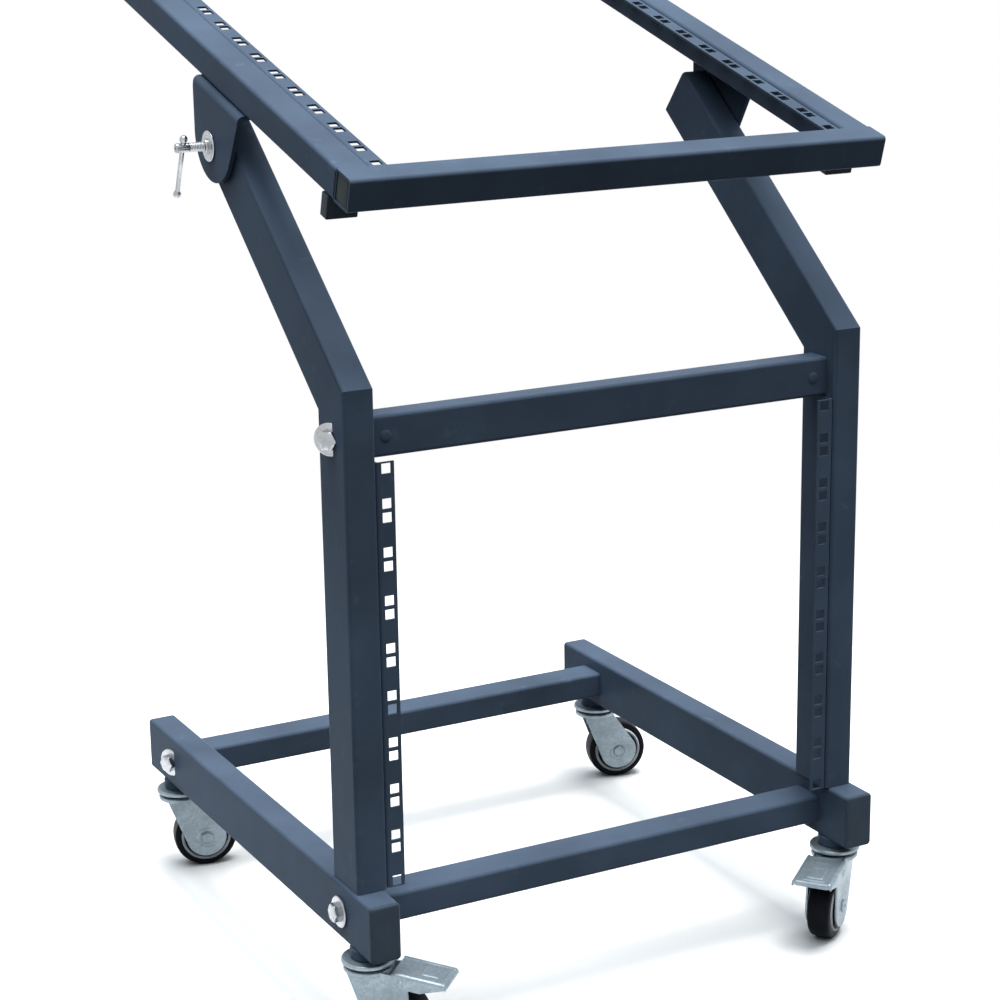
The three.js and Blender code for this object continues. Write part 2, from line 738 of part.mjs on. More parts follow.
Object.entries(sides).forEach(([sideName, side]) => Object.entries(castorYs).forEach(([endName, y]) => {
  const name = `${sideName}_${endName}`;
  const braked = endName === 'front';
  const castor = new THREE.Group();
  castor.position.set(side * railCentreX, y, 0);
  castor.rotation.z = THREE.MathUtils.degToRad(castorHeading[name]);
  castor.add(
    named(`${name}_castor_head`, castorHead(), zinc),
    named(`${name}_castor_yoke`, yoke(braked), zinc),
    named(`${name}_castor_axle`, axle(), zinc),
    named(`${name}_wheel_core`, wheelCore(), greyPlastic),
    named(`${name}_tyre`, tyre(), rubber),
  );
  if (braked) {
    castor.add(named(`${name}_brake_pedal`, brakePedal(), zinc));
  }
  rack.add(castor);
}));

// The origin is on the floor under the middle of the rack
const box = new THREE.Box3().setFromObject(rack);
const middle = box.getCenter(new THREE.Vector3());
rack.position.set(-middle.x, -middle.y, -box.min.z);

export default rack;
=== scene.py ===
import json
import math

import bmesh
import bpy
from mathutils import Matrix, Vector


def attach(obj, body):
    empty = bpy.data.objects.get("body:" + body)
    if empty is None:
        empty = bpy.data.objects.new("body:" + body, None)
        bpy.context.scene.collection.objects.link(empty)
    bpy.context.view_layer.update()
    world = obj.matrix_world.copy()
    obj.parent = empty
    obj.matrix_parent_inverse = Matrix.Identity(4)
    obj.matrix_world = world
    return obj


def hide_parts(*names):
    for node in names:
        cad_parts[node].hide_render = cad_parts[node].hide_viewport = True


bl_info = {
    "name": "Rolling Equipment Rack",
    "version": (1, 0, 0),
    "blender": (4, 5, 0),
    "location": "View3D > Sidebar > Rack",
    "description": "Finishes the tubes, rack strips, clamps and castors of a rolling equipment rack",
    "category": "Object",
}

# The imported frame, in metres. Every place below is read from it: +X right, +Y back, +Z up.
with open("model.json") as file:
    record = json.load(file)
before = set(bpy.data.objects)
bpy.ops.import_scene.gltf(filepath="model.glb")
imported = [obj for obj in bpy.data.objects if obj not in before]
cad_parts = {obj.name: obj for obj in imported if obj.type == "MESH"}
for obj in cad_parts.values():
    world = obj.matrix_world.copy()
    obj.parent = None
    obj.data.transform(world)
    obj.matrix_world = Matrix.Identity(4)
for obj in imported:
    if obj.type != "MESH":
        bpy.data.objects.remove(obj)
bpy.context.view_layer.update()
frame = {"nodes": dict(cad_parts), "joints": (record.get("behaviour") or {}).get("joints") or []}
JOINTS = {joint["name"]: joint for joint in frame["joints"]}
SIDES = {"left": -1, "right": 1}
CASTORS = ("left_front", "left_rear", "right_front", "right_rear")
BRAKED = ("left_front", "right_front")
QUARTER = math.pi / 2

# Turns that lay a shape's own Z along another axis, and the sides of a box that become
# the laid shape's width, height and length
LAY = {
    "X": Matrix(((0, 0, 1, 0), (1, 0, 0, 0), (0, 1, 0, 0), (0, 0, 0, 1))),
    "Y": Matrix(((0, 1, 0, 0), (0, 0, 1, 0), (1, 0, 0, 0), (0, 0, 0, 1))),
}
LAID_SIZE = {"X": (1, 2, 0), "Y": (2, 0, 1)}


# Sizes and colours that a user would change

def length(name, description, default):
    return bpy.props.FloatProperty(
        name=name, description=description, default=default, min=0, unit="LENGTH", precision=4)


def degrees(name, description, default):
    return bpy.props.FloatProperty(
        name=name, description=description, default=math.radians(default), subtype="ANGLE")


def number(name, description, default):
    return bpy.props.FloatProperty(name=name, description=description, default=default, min=0)


def colour(name, description, default):
    return bpy.props.FloatVectorProperty(
        name=name, description=description, default=default, min=0, max=1, size=3, subtype="COLOR")


class RackTubeSizes(bpy.types.PropertyGroup):
    wall: length("Tube wall", "Wall of every square tube", 0.002)
    corner: length("Tube corner", "Outside radius of the tubes' corners", 0.0035)
    seat: length("Seat", "Gap between pieces that rest on each other", 0.0003)
    bend_height: length("Bend height", "From the rails' top to where the uprights bend back", 0.467)
    arm_length: length("Arm length", "From the bend to the end of the slanted arm", 0.354)
    arm_lean: degrees("Arm lean", "Angle of the arms from upright", 50.8)
    cap_flange: length("Cap flange", "Thickness of the cap that shows at a rail's end", 0.003)
    cap_round: length("Cap rounding", "Rounding of the cap's outer edge", 0.0022)
    bracket_sheet: length("Bracket sheet", "Thickness of the pivot brackets", 0.0042)
    bracket_fold: length("Bracket fold", "Outside radius of the brackets' fold", 0.006)
    bracket_edge: length("Bracket edge", "Rounding of the brackets' cut edges", 0.0006)
    bracket_end: length("Bracket end", "Radius of the brackets' lower end", 0.0455)
    bracket_rise: length("Bracket rise", "Height of the lower end's centre over the pivot", 0.014)
    pad: length("Friction pad", "Diameter of the pads between brackets and arms", 0.040)
    pad_thickness: length("Pad thickness", "Thickness of the friction pads", 0.0018)
    stop_edge: length("Stop block edge", "Rounding of the stop blocks' edges", 0.0012)


class RackStripSizes(bpy.types.PropertyGroup):
    unit: length("Rack unit", "Height of one rack unit", 0.04445)
    hole: length("Square hole", "Side of the square holes", 0.0095)
    hole_from_edge: length("Hole from unit edge", "From a unit's edge to the centre of its hole", 0.00635)
    column: length("Hole column", "From the rack's middle to the centre of a column of holes", 0.23255)
    sheet: length("Sheet", "Thickness of the folded strip", 0.002)
    fold: length("Fold radius", "Outside radius of the strip's fold", 0.0032)


class RackFastenerSizes(bpy.types.PropertyGroup):
    washer: length("Washer diameter", "Outside of the washers under the frame bolts", 0.030)
    washer_bore: length("Washer bore", "Bore of the washers", 0.0105)
    washer_thickness: length("Washer thickness", "Thickness of the washers", 0.0025)
    head_flats: length("Head across flats", "Width of the bolt heads", 0.016)
    head_height: length("Head height", "Height of the bolt heads", 0.0064)
    rivet: length("Rivet head", "Diameter of the rivet heads on the middle bar", 0.011)
    rivet_height: length("Rivet height", "Height of the rivet heads", 0.0012)
    rivet_from_end: length("Rivet from end", "From the middle bar's end to a rivet", 0.016)
    screw: length("Clamp screw", "Diameter of the clamp screws", 0.009)
    screw_reach: length("Clamp screw reach", "From a clamp's washer to the end of its screw", 0.031)
    screw_washer: length("Clamp washer", "Thickness of the clamps' domed washers", 0.0022)
    collar: length("Collar diameter", "Diameter of the collar on a clamp's washer", 0.0145)
    collar_length: length("Collar length", "Length of that collar", 0.0032)
    thread_pitch: length("Thread pitch", "Pitch of the clamp screws", 0.0015)
    thread_depth: length("Thread depth", "Depth of the clamp screws' thread", 0.0006)
    shank: length("Tommy bar", "Diameter of the sliding bars", 0.0044)


class RackCastorSizes(bpy.types.PropertyGroup):
    crown: length("Crown diameter", "Diameter of the yoke's crown", 0.047)
    crown_sheet: length("Crown sheet", "Thickness of the crown", 0.0036)
    cheek_sheet: length("Cheek sheet", "Thickness of the yoke's sides", 0.0025)
    cheek_outer: length("Cheek face", "From the wheel's middle to a cheek's outer face", 0.0164)
    race: length("Ball race", "Diameter of the ball race between plate and crown", 0.039)
    stem: length("Stem", "Diameter of the threaded stem", 0.009)
    stem_head: length("Stem head", "Diameter of the stem's lower head", 0.0175)
    stem_head_height: length("Stem head height", "Height of that head", 0.005)
    plate: length("Top plate", "Thickness of the plate over the race", 0.0034)
    axle: length("Axle", "Diameter of the axle bolts", 0.008)
    axle_flats: length("Axle across flats", "Width of the axle bolts' heads", 0.0104)
    axle_head: length("Axle head", "Height of the axle bolts' heads", 0.0024)
    guard_rim: length("Guard rim", "Width of the bright rim of the thread guard", 0.0032)
    guard_dish: length("Guard dish", "Depth of the dark dish inside the rim", 0.0011)
    tread: length("Tyre thickness", "Thickness of the tyre", 0.008)
    tyre_shoulder: length("Tyre shoulder", "Rounding of the tyre's shoulders", 0.0034)
    tyre_crown: length("Tyre crown", "Rise of the tread and the side walls over the shoulders", 0.0004)
    pedal_sheet: length("Pedal sheet", "Thickness of the pressed brake pedal", 0.0019)
    pedal_fold: length("Pedal fold", "Outside radius of the pedal's folds", 0.0036)
    pedal_skirt: length("Pedal skirt", "From the pin down to the lower edge of the skirts", 0.0045)
    pedal_lip: length("Pedal lip", "Depth of the lip at the tip", 0.0048)
    pedal_droop: degrees("Pedal droop", "How far the raised pedal hangs below level", 7)
    pedal_pad: length("Pedal pad", "Side of the raised square on the pedal", 0.0160)
    ear: length("Brake ear", "Radius of the yoke's ears round the pedal's pin", 0.005)
    pin: length("Brake pin", "Diameter of the pedal's pin", 0.0045)
    shoe_width: length("Brake shoe", "Width of the brake shoe", 0.016)
    shoe_near: length("Shoe near side", "From the pin to the near side of the brake shoe", 0.0072)
    shoe_far: length("Shoe far side", "From the pin to the far side of the brake shoe", 0.0136)
    shoe_drop: length("Shoe drop", "From the pin down to the brake shoe's lower side", 0.0100)
    shoe_edge: length("Shoe edge", "Rounding of the brake shoe's edges", 0.0008)


class RackFinishes(bpy.types.PropertyGroup):
    paint: colour("Powder coat", "Dark blue powder coat of the steel frame", (0.078, 0.107, 0.153))
    paint_bloom: colour(
        "Powder coat bloom", "Steel-blue bloom of the powder coat at a glancing angle", (0.36, 0.62, 1.0))
    zinc: colour("Zinc", "Bright zinc of the castors", (0.33, 0.40, 0.45))
    nickel: colour("Nickel", "Plating of the bolts and clamps", (0.50, 0.52, 0.55))
    # The tyre colour also goes on the guards' dishes, where it is painted shade over a black wheel core
    tyre: colour("Tyre", "Rubber of the tyres", (0.0075, 0.0090, 0.0135))
    guard: colour("Guard", "Rims of the wheels' thread guards", (0.78, 0.80, 0.82))
    cap: colour("Caps", "Plastic of the rails' end caps", (0.058, 0.080, 0.106))
    plug: colour("Plugs", "Plastic of the plugs in the bars' ends", (0.046, 0.066, 0.068))


class RackStage(bpy.types.PropertyGroup):
    floor_size: length("Floor size", "Side of the floor", 24.0)
    floor_bounce: colour("Floor bounce", "Light that the floor throws back onto the rack", (0.15, 0.15, 0.15))
    glow_start: length("Glow start", "From the floor's middle to where its glow starts", 0.55)
    glow_full: length("Full glow", "From the floor's middle to where it only glows", 1.6)
    air: colour("Room light", "Colour of the room's light", (0.80, 0.91, 1.0))
    ambient: number("Ambient", "Strength of the room's light", 2.0)
    key: number("Key light", "Strength of the key light", 3.4)
    key_softness: degrees("Key softness", "Angle that the key light fills in the sky", 34)
    camera_lens: number("Lens", "Focal length in millimetres for a 36 mm frame", 86.86)


GROUPS = {
    "rack_tubes": RackTubeSizes,
    "rack_strips": RackStripSizes,
    "rack_fasteners": RackFastenerSizes,
    "rack_castors": RackCastorSizes,
    "rack_finishes": RackFinishes,
    "rack_stage": RackStage,
}


def sizes(group):
    """The sizes or colours that the scene holds for a group."""
    return getattr(bpy.context.scene, group)


# Places in the frame

def at(point, turn=0, axis="X"):
    """A place at a point, turned about one of its axes."""
    return Matrix.Translation(point) @ Matrix.Rotation(turn, 4, axis)


def joint_point(name):
    return Vector(JOINTS[name]["pos_m"])


def rack_place():
    """The tilting rack's own axes: Y back along it, Z square to it, origin at the pivot."""
    joint = JOINTS["top_rack_tilt"]
    return at(joint["pos_m"], -math.radians(joint["range_deg"][0]))


def castor_joint(name, joint):
    """How far a castor's joint is from its swivel, and its height."""
    point = joint_point(f"{name}_{joint}")
    return (point - joint_point(f"{name}_swivel_turn")).xy.length, point.z


def castor_place(name):
    """A castor's own axes: X from the swivel towards the wheel, Z up, origin on the floor."""
    swivel = joint_point(f"{name}_swivel_turn")
    trail = (joint_point(f"{name}_wheel_turn") - swivel).xy
    return at((swivel.x, swivel.y, 0), math.atan2(trail.y, trail.x), "Z")


def node_box(node, place=None):
    """Lowest and highest corner of a CAD node, measured along the axes of place."""
    inverse = (place or Matrix()).inverted()
    corners = [inverse @ vertex.co for vertex in frame["nodes"][node].data.vertices]
    low = Vector(min(corner[axis] for corner in corners) for axis in range(3))
    high = Vector(max(corner[axis] for corner in corners) for axis in range(3))
    return low, high


# Outlines, counter-clockwise

def arc(centre, radius, start, end, steps):
    """Points on an arc, with angles in quarter turns."""
    turns = [(start + (end - start) * step / steps) * QUARTER for step in range(steps + 1)]
    return [(centre[0] + radius * math.cos(turn), centre[1] + radius * math.sin(turn)) for turn in turns]


def rounded(width, height, radius, steps=6):
    x, y = width / 2 - radius, height / 2 - radius
    corners = enumerate(((x, y), (-x, y), (-x, -y), (x, -y)))
    return [point for turn, corner in corners for point in arc(corner, radius, turn, turn + 1, steps)]


def tube_section(width, height):
    """The outline of a square tube and that of its bore."""
    tubes = sizes("rack_tubes")
    inner = tubes.wall * 2
    return (rounded(width, height, tubes.corner),
            rounded(width - inner, height - inner, tubes.corner - tubes.wall))


def both_sides(profile):
    """A profile and its mirror image below."""
    return profile + [(radius, -height) for radius, height in reversed(profile)]


def wrap(circles, steps=96):
    """The outline that a tight band round some circles has."""
    turns = [step * math.tau / steps for step in range(steps)]
    points = sorted((x + radius * math.cos(turn), y + radius * math.sin(turn))
                    for x, y, radius in circles for turn in turns)

    def chain(ordered):
        kept = []
        for point in ordered:
            while len(kept) > 1 and (
                    (kept[-1][0] - kept[-2][0]) * (point[1] - kept[-2][1])
                    <= (kept[-1][1] - kept[-2][1]) * (point[0] - kept[-2][0])):
                kept.pop()
            kept.append(point)
        return kept[:-1]

    return chain(points) + chain(points[::-1])


# Objects and their meshes

def in_scene(name, data):
    """A new object in the scene for a mesh, a lamp or a camera."""
    thing = bpy.data.objects.new(name, data)
    bpy.context.scene.collection.objects.link(thing)
    return thing


def smooth_object(name, mesh, angle=38):
    """A mesh's object, with smooth faces and with sharp edges over an angle in degrees."""
    mesh.polygons.foreach_set("use_smooth", [True] * len(mesh.polygons))
    mesh.set_sharp_from_angle(angle=math.radians(angle))
    return in_scene(name, mesh)


def even_shading(piece):
    modifier = piece.modifiers.new("Even shading", "WEIGHTED_NORMAL")
    modifier.keep_sharp = True


def break_edges(piece, width):
    modifier = piece.modifiers.new("Broken edges", "BEVEL")
    modifier.width = width
    modifier.segments = 2
    modifier.limit_method = "ANGLE"
    modifier.angle_limit = math.radians(50)
    modifier.harden_normals = True


def settle(piece, body, nodes):
    """Hangs a piece under the empty of the body that it rides on, and hides the CAD nodes that it stands for.
    """
    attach(piece, body)
    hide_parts(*nodes)


class Shape:
    """Collects closed forms into one mesh."""

    def __init__(self, place=None):
        self.mesh = bmesh.new()
        self.place = place or Matrix()
        self.finish = 0

    def faces(self, corners):
        """Faces with the finish that the shape is set to."""
        for corner in corners:
            self.mesh.faces.new(corner).material_index = self.finish

    def band(self, rows, matrix, loop=False):
        """Joins each row of points to the next one, and gives back the rows' vertices."""
        rows = [[self.mesh.verts.new(matrix @ Vector(point)) for point in row] for row in rows]
        pairs = list(zip(rows, rows[1:])) + ([(rows[-1], rows[0])] if loop else [])
        self.faces((lower[i - 1], lower[i], upper[i], upper[i - 1])
                   for lower, upper in pairs for i in range(len(lower)))
        return rows

    def rings(self, rings, loop=False, place=None):
        """A skin over rings of points, with end faces or with its last ring joined to the first."""
        rows = self.band(rings, self.place @ (place or Matrix()), loop)
        if not loop:
            self.faces((rows[0][::-1], rows[-1]))

    def sheet(self, upper, lower):
        """A closed sheet between an upper and a lower grid of points."""
        rows = self.band([top + under[::-1] for top, under in zip(upper, lower)], self.place)
        for row in (rows[0], rows[-1]):
            self.faces((row[i], row[i + 1], row[-2 - i], row[-1 - i]) for i in range(len(row) // 2 - 1))

    def lathe(self, profile, loop=False, place=None, steps=56):
        """A turned form, from its radius and height at each step of its profile."""
        turns = [step * math.tau / steps for step in range(steps)]
        self.rings([[(radius * math.cos(turn), radius * math.sin(turn), height) for turn in turns]
                    for radius, height in profile], loop, place)

    def prism(self, outline, low, high, place, edge):
        """An outline between two heights. Its rims are drawn in towards its middle, to round them."""
        steps = 3
        normals = [Vector((ahead[1] - behind[1], behind[0] - ahead[0])).normalized()
                   for ahead, behind in zip(outline[1:] + outline[:1], outline[-1:] + outline[:-1])]
        rings = []
        for step in range(steps * 2 + 2):
            top = step > steps
            turn = (step - top) / steps * QUARTER
            inset = edge * (1 - math.sin(turn))
            height = high - edge * (1 + math.cos(turn)) if top else low + edge * (1 - math.cos(turn))
            rings.append([(x - normal.x * inset, y - normal.y * inset, height)
                          for (x, y), normal in zip(outline, normals)])
        self.rings(rings, place=place)

    def block(self, low, high, edge):
        """A box with rounded edges."""
        middle = [(a + b) / 2 for a, b in zip(low, high)]
        size = [b - a for a, b in zip(low, high)]
        outline = rounded(size[0], size[1], edge, 3)
        self.prism(outline, -size[2] / 2, size[2] / 2, Matrix.Translation(middle), edge)

    def tube(self, low, high, axis):
        """A square tube that fills a box, with its length along axis."""
        middle, size = (low + high) / 2, high - low
        width, height, along = (size[i] for i in LAID_SIZE[axis])
        outside, bore = tube_section(width, height)
        ends = (-along / 2, along / 2)
        rings = [[(x, y, z) for x, y in outside] for z in ends]
        rings += [[(x, y, z) for x, y in bore] for z in ends[::-1]]
        self.rings(rings, True, Matrix.Translation(middle) @ LAY[axis])

    def make(self, name, *finishes, angle=38):
        """Makes the collected mesh an object with the named finishes."""
        bmesh.ops.recalc_face_normals(self.mesh, faces=self.mesh.faces)
        mesh = bpy.data.meshes.new(name)
        self.mesh.to_mesh(mesh)
        self.mesh.free()
        for finish in finishes:
            mesh.materials.append(bpy.data.materials[finish])
        return smooth_object(name, mesh, angle)

    def piece(self, name, body, slot, node, *finishes, angle=38, bevel=0.0):
        """Makes the collected mesh a piece that rides on a body and stands for a CAD node."""
        piece = self.make(name, *finishes, angle=angle)
        if bevel:
            break_edges(piece, bevel)
        even_shading(piece)
        settle(piece, body, [node])


# Node trees

class Tree:
    """Adds nodes to a node tree. A socket's value is a number, a colour or another node's output."""

    def __init__(self, tree):
        self.tree = tree

    def node(self, kind, sockets=None, **settings):
        node = self.tree.nodes.new(kind)
        for name, value in settings.items():
            setattr(node, name, value)
        for name, value in (sockets or {}).items():
            if isinstance(value, bpy.types.NodeSocket):
                self.link(value, node.inputs[name])
            else:
                node.inputs[name].default_value = value
        return node

    def link(self, output, socket):
        self.tree.links.new(output, socket)

    def math(self, operation, *values):
        return self.node("ShaderNodeMath", dict(enumerate(values)), operation=operation).outputs[0]

    def noise(self, coordinates, scale, detail=3.0, roughness=0.5):
        """Noise with its scale per metre."""
        return self.node("ShaderNodeTexNoise", {
            "Vector": coordinates, "Scale": scale, "Detail": detail, "Roughness": roughness}).outputs["Fac"]

    def spread(self, value, source, target):
        """Takes a value from the source range to the target range."""
        return self.node("ShaderNodeMapRange", {
            "Value": value, "From Min": source[0], "From Max": source[1],
            "To Min": target[0], "To Max": target[1]}).outputs[0]

    def mix(self, share, first, second):
        mixer = self.node("ShaderNodeMix", {0: share, 6: first, 7: second}, data_type="RGBA")
        return mixer.outputs[2]


def new_group(name, inputs):
    """A group of geometry nodes that takes a mesh and the named inputs, and gives a mesh."""
    group = bpy.data.node_groups.new(name, "GeometryNodeTree")
    for title, kind in {"Geometry": "Geometry", **inputs}.items():
        group.interface.new_socket(title, in_out="INPUT", socket_type=f"NodeSocket{kind}")
    group.interface.new_socket("Geometry", in_out="OUTPUT", socket_type="NodeSocketGeometry")
    tree = Tree(group)
    return tree, tree.node("NodeGroupInput").outputs


def end_group(tree, geometry, finish):
    """Makes a group's result real, gives it its finish and sends it out."""
    real = tree.node("GeometryNodeRealizeInstances", {"Geometry": geometry}).outputs[0]
    finished = tree.node("GeometryNodeSetMaterial", {"Geometry": real, "Material": finish}).outputs[0]
    tree.node("NodeGroupOutput", {"Geometry": finished})
    return tree.tree


def on_nodes(blank, group, values, name):
    """Runs a group of geometry nodes on an object, and puts the plain mesh that it gives in its place."""
    modifier = blank.modifiers.new(group.name, "NODES")
    modifier.node_group = group
    for item in group.interface.items_tree:
        if item.in_out == "INPUT" and item.name in values:
            modifier[item.identifier] = values[item.name]
    bpy.context.view_layer.update()
    mesh = bpy.data.meshes.new_from_object(blank.evaluated_get(bpy.context.evaluated_depsgraph_get()))
    mesh.name = name
    blank.modifiers.clear()
    bpy.data.objects.remove(blank)
    return smooth_object(name, mesh)


# Finishes

def opaque(values):
    return (*values, 1.0)


def shaded(values, share):
    return (*(min(1.0, value * share) for value in values), 1.0)


def empty_tree(owner):
    """The node tree of a material or a world, with nothing in it yet."""
    owner.use_nodes = True
    owner.node_tree.nodes.clear()
    return Tree(owner.node_tree)


def new_finish(name):
    material = bpy.data.materials.new(name)
    material.use_nodes = True
    tree = Tree(material.node_tree)
    surface = material.node_tree.nodes["Principled BSDF"]
    coordinates = tree.node("ShaderNodeTexCoord").outputs["Object"]
    return tree, surface, coordinates


def dress(tree, surface, base, roughness, height, bump_strength, bump_depth, **constants):
    """Gives a finish its colour, roughness and bump, and the values that are the same all over it."""
    bump = tree.node("ShaderNodeBump", {
        "Strength": bump_strength, "Distance": bump_depth, "Height": height}).outputs["Normal"]
    tree.link(base, surface.inputs["Base Color"])
    tree.link(roughness, surface.inputs["Roughness"])
    tree.link(bump, surface.inputs["Normal"])
    for name, value in constants.items():
        surface.inputs[name.replace("_", " ")].default_value = value


# The range that most values of a noise fall in
MOST = (0.3, 0.7)


def powder_coat():
    """Satin powder coat: a fine orange peel, a slow change of tone and a few rubbed places."""
    finishes = sizes("rack_finishes")
    paint = finishes.paint
    tree, surface, where = new_finish("powder_coat")
    peel = tree.noise(where, scale=520, detail=2)
    grain = tree.noise(where, scale=2400, detail=2)
    tone = tree.noise(where, scale=9, detail=4)
    scuffs = tree.noise(where, scale=46, detail=6, roughness=0.62)
    base = tree.mix(tree.spread(tone, MOST, (0, 1)), shaded(paint, 0.82), shaded(paint, 1.25))
    base = tree.mix(tree.spread(scuffs, (0.62, 0.78), (0, 0.4)), base, shaded(paint, 2.0))
    gloss = tree.spread(tone, MOST, (0.34, 0.44))
    height = tree.math("MULTIPLY_ADD", peel, grain, 0.35)
    dress(tree, surface, base, gloss, height, bump_strength=0.14, bump_depth=0.0004, Specular_IOR_Level=0.02,
          Sheen_Weight=0.25, Sheen_Roughness=0.35, Sheen_Tint=opaque(finishes.paint_bloom))


def plated(name, tint, gloss, spangle, metal):
    """Plated steel: faint crystals, a slow cloudiness and fine rolling marks."""
    tree, surface, where = new_finish(name)
    crystal = tree.node("ShaderNodeTexVoronoi", {"Vector": where, "Scale": spangle}).outputs["Color"]
    crystal = tree.node("ShaderNodeSeparateColor", {0: crystal}).outputs[0]
    cloud = tree.noise(where, scale=42)
    rolled = tree.node("ShaderNodeMapping", {"Vector": where, "Scale": (260, 260, 1500)}).outputs[0]
    marks = tree.noise(rolled, scale=1, detail=2)
    base = tree.mix(crystal, shaded(tint, 0.86), shaded(tint, 1.12))
    base = tree.mix(tree.spread(cloud, (0.45, 0.7), (0, 0.7)), base, shaded(tint, 0.68))
    dress(tree, surface, base, tree.spread(cloud, MOST, gloss), marks, bump_strength=0.06, bump_depth=0.0002,
          Metallic=metal)


def moulded(name, tint, gloss, grain):
    """Moulded plastic or rubber with a fine grain and a little dust."""
    tree, surface, where = new_finish(name)
    fine = tree.noise(where, scale=grain)
    cloud = tree.noise(where, scale=60, detail=4)
    dusty = shaded([value + 0.004 for value in tint], 1.3)
    base = tree.mix(tree.spread(cloud, (0.45, 0.75), (0, 0.5)), opaque(tint), dusty)
    dress(tree, surface, base, tree.spread(cloud, MOST, gloss), fine, bump_strength=0.16, bump_depth=0.0003,
          Specular_IOR_Level=0.06)


class RACK_OT_finishes(bpy.types.Operator):
    """Makes the procedural finishes: powder coat, plating, rubber and plastic"""
    bl_idname = "rack.finishes"
    bl_label = "Finishes"

    def execute(self, context):
        finishes = sizes("rack_finishes")
        powder_coat()
        plated("zinc_plating", finishes.zinc, gloss=(0.32, 0.46), spangle=420, metal=0.6)
        plated("nickel_plating", finishes.nickel, gloss=(0.20, 0.32), spangle=900, metal=1.0)
        moulded("tyre_rubber", finishes.tyre, gloss=(0.34, 0.5), grain=1500)
        moulded("guard_rim", finishes.guard, gloss=(0.2, 0.32), grain=1200)
        # The guards' dishes get the tyre's near-black: painted shade for the shade in the dish, over a wheel
        # core that is black too
        moulded("guard_dish", finishes.tyre, gloss=(0.4, 0.55), grain=1200)
        moulded("cap_moulding", finishes.cap, gloss=(0.32, 0.42), grain=1700)
        moulded("plug_moulding", finishes.plug, gloss=(0.38, 0.52), grain=1700)
        return {"FINISHED"}


# Base

class RACK_OT_base(bpy.types.Operator):
    """Builds the side rails with their castor bosses, the cross bars and the rails' end caps"""
    bl_idname = "rack.base"
    bl_label = "Base rails"

    def execute(self, context):
        for side in SIDES:
            self.rail(side)
            self.cap(f"{side}_front_rail", -1)
            self.cap(f"{side}_rear_rail", 1)
        for bar in ("front_cross_rail", "rear_cross_rail"):
            shape = Shape()
            shape.tube(*node_box(bar), "X")
            shape.piece(f"{bar}_tube", "base_frame", "frame_paint", bar, "powder_coat")
        return {"FINISHED"}

    def rail(self, side):
        """A side rail, with the round bosses that the castors' stems screw into."""
        node = f"{side}_side_rail"
        low, high = node_box(node)
        cap_low, cap_high = node_box(f"{side}_front_rail_cap")
        shape = Shape()
        shape.tube(Vector((cap_low.x, low.y, cap_low.z)), Vector((cap_high.x, high.y, cap_high.z)), "Y")
        radius = (high.x - low.x) / 2
        bore, edge = radius * 0.3, sizes("rack_tubes").wall / 2
        top = cap_low.z
        for end in ("front", "rear"):
            swivel = joint_point(f"{side}_{end}_swivel_turn")
            shape.lathe([(bore, low.z), (radius - edge, low.z), (radius, low.z + edge), (radius, top),
                         (radius - edge, top + edge), (bore, top + edge)],
                        True, Matrix.Translation((swivel.x, swivel.y, 0)))
        shape.piece(f"{side}_side_rail_tube", "base_frame", "frame_paint", node, "powder_coat")

    def cap(self, end, outward):
        """The cap on a rail's end, with a rounded edge. outward is the way along Y that it faces."""
        tubes = sizes("rack_tubes")
        low, high = node_box(f"{end}_cap")
        face = low.y if outward < 0 else high.y
        tall, wide, soft = high.z - low.z, high.x - low.x, tubes.cap_round

        def ring(inset, depth):
            outline = rounded(tall - inset * 2, wide - inset * 2, tubes.corner)
            return [(x, y, face - outward * depth) for x, y in outline]

        turns = [share * QUARTER for share in (0, 0.35, 0.7, 1)]
        edge = [ring(soft * (1 - math.cos(turn)), soft * (1 - math.sin(turn))) for turn in turns]
        shape = Shape(Matrix.Translation(((low.x + high.x) / 2, 0, (low.z + high.z) / 2)) @ LAY["Y"])
        shape.rings([ring(0, tubes.cap_flange), *edge, ring(soft * 2, 0)])
        shape.piece(f"{end}_end_cap", "base_frame", "cap_plastic", f"{end}_cap", "cap_moulding")


# A rivet head's dome, as shares of its radius and its height
RIVET_DOME = ((1, -1), (1, 0.2), (0.9, 0.55), (0.68, 0.85), (0.4, 0.98), (0.1, 1))


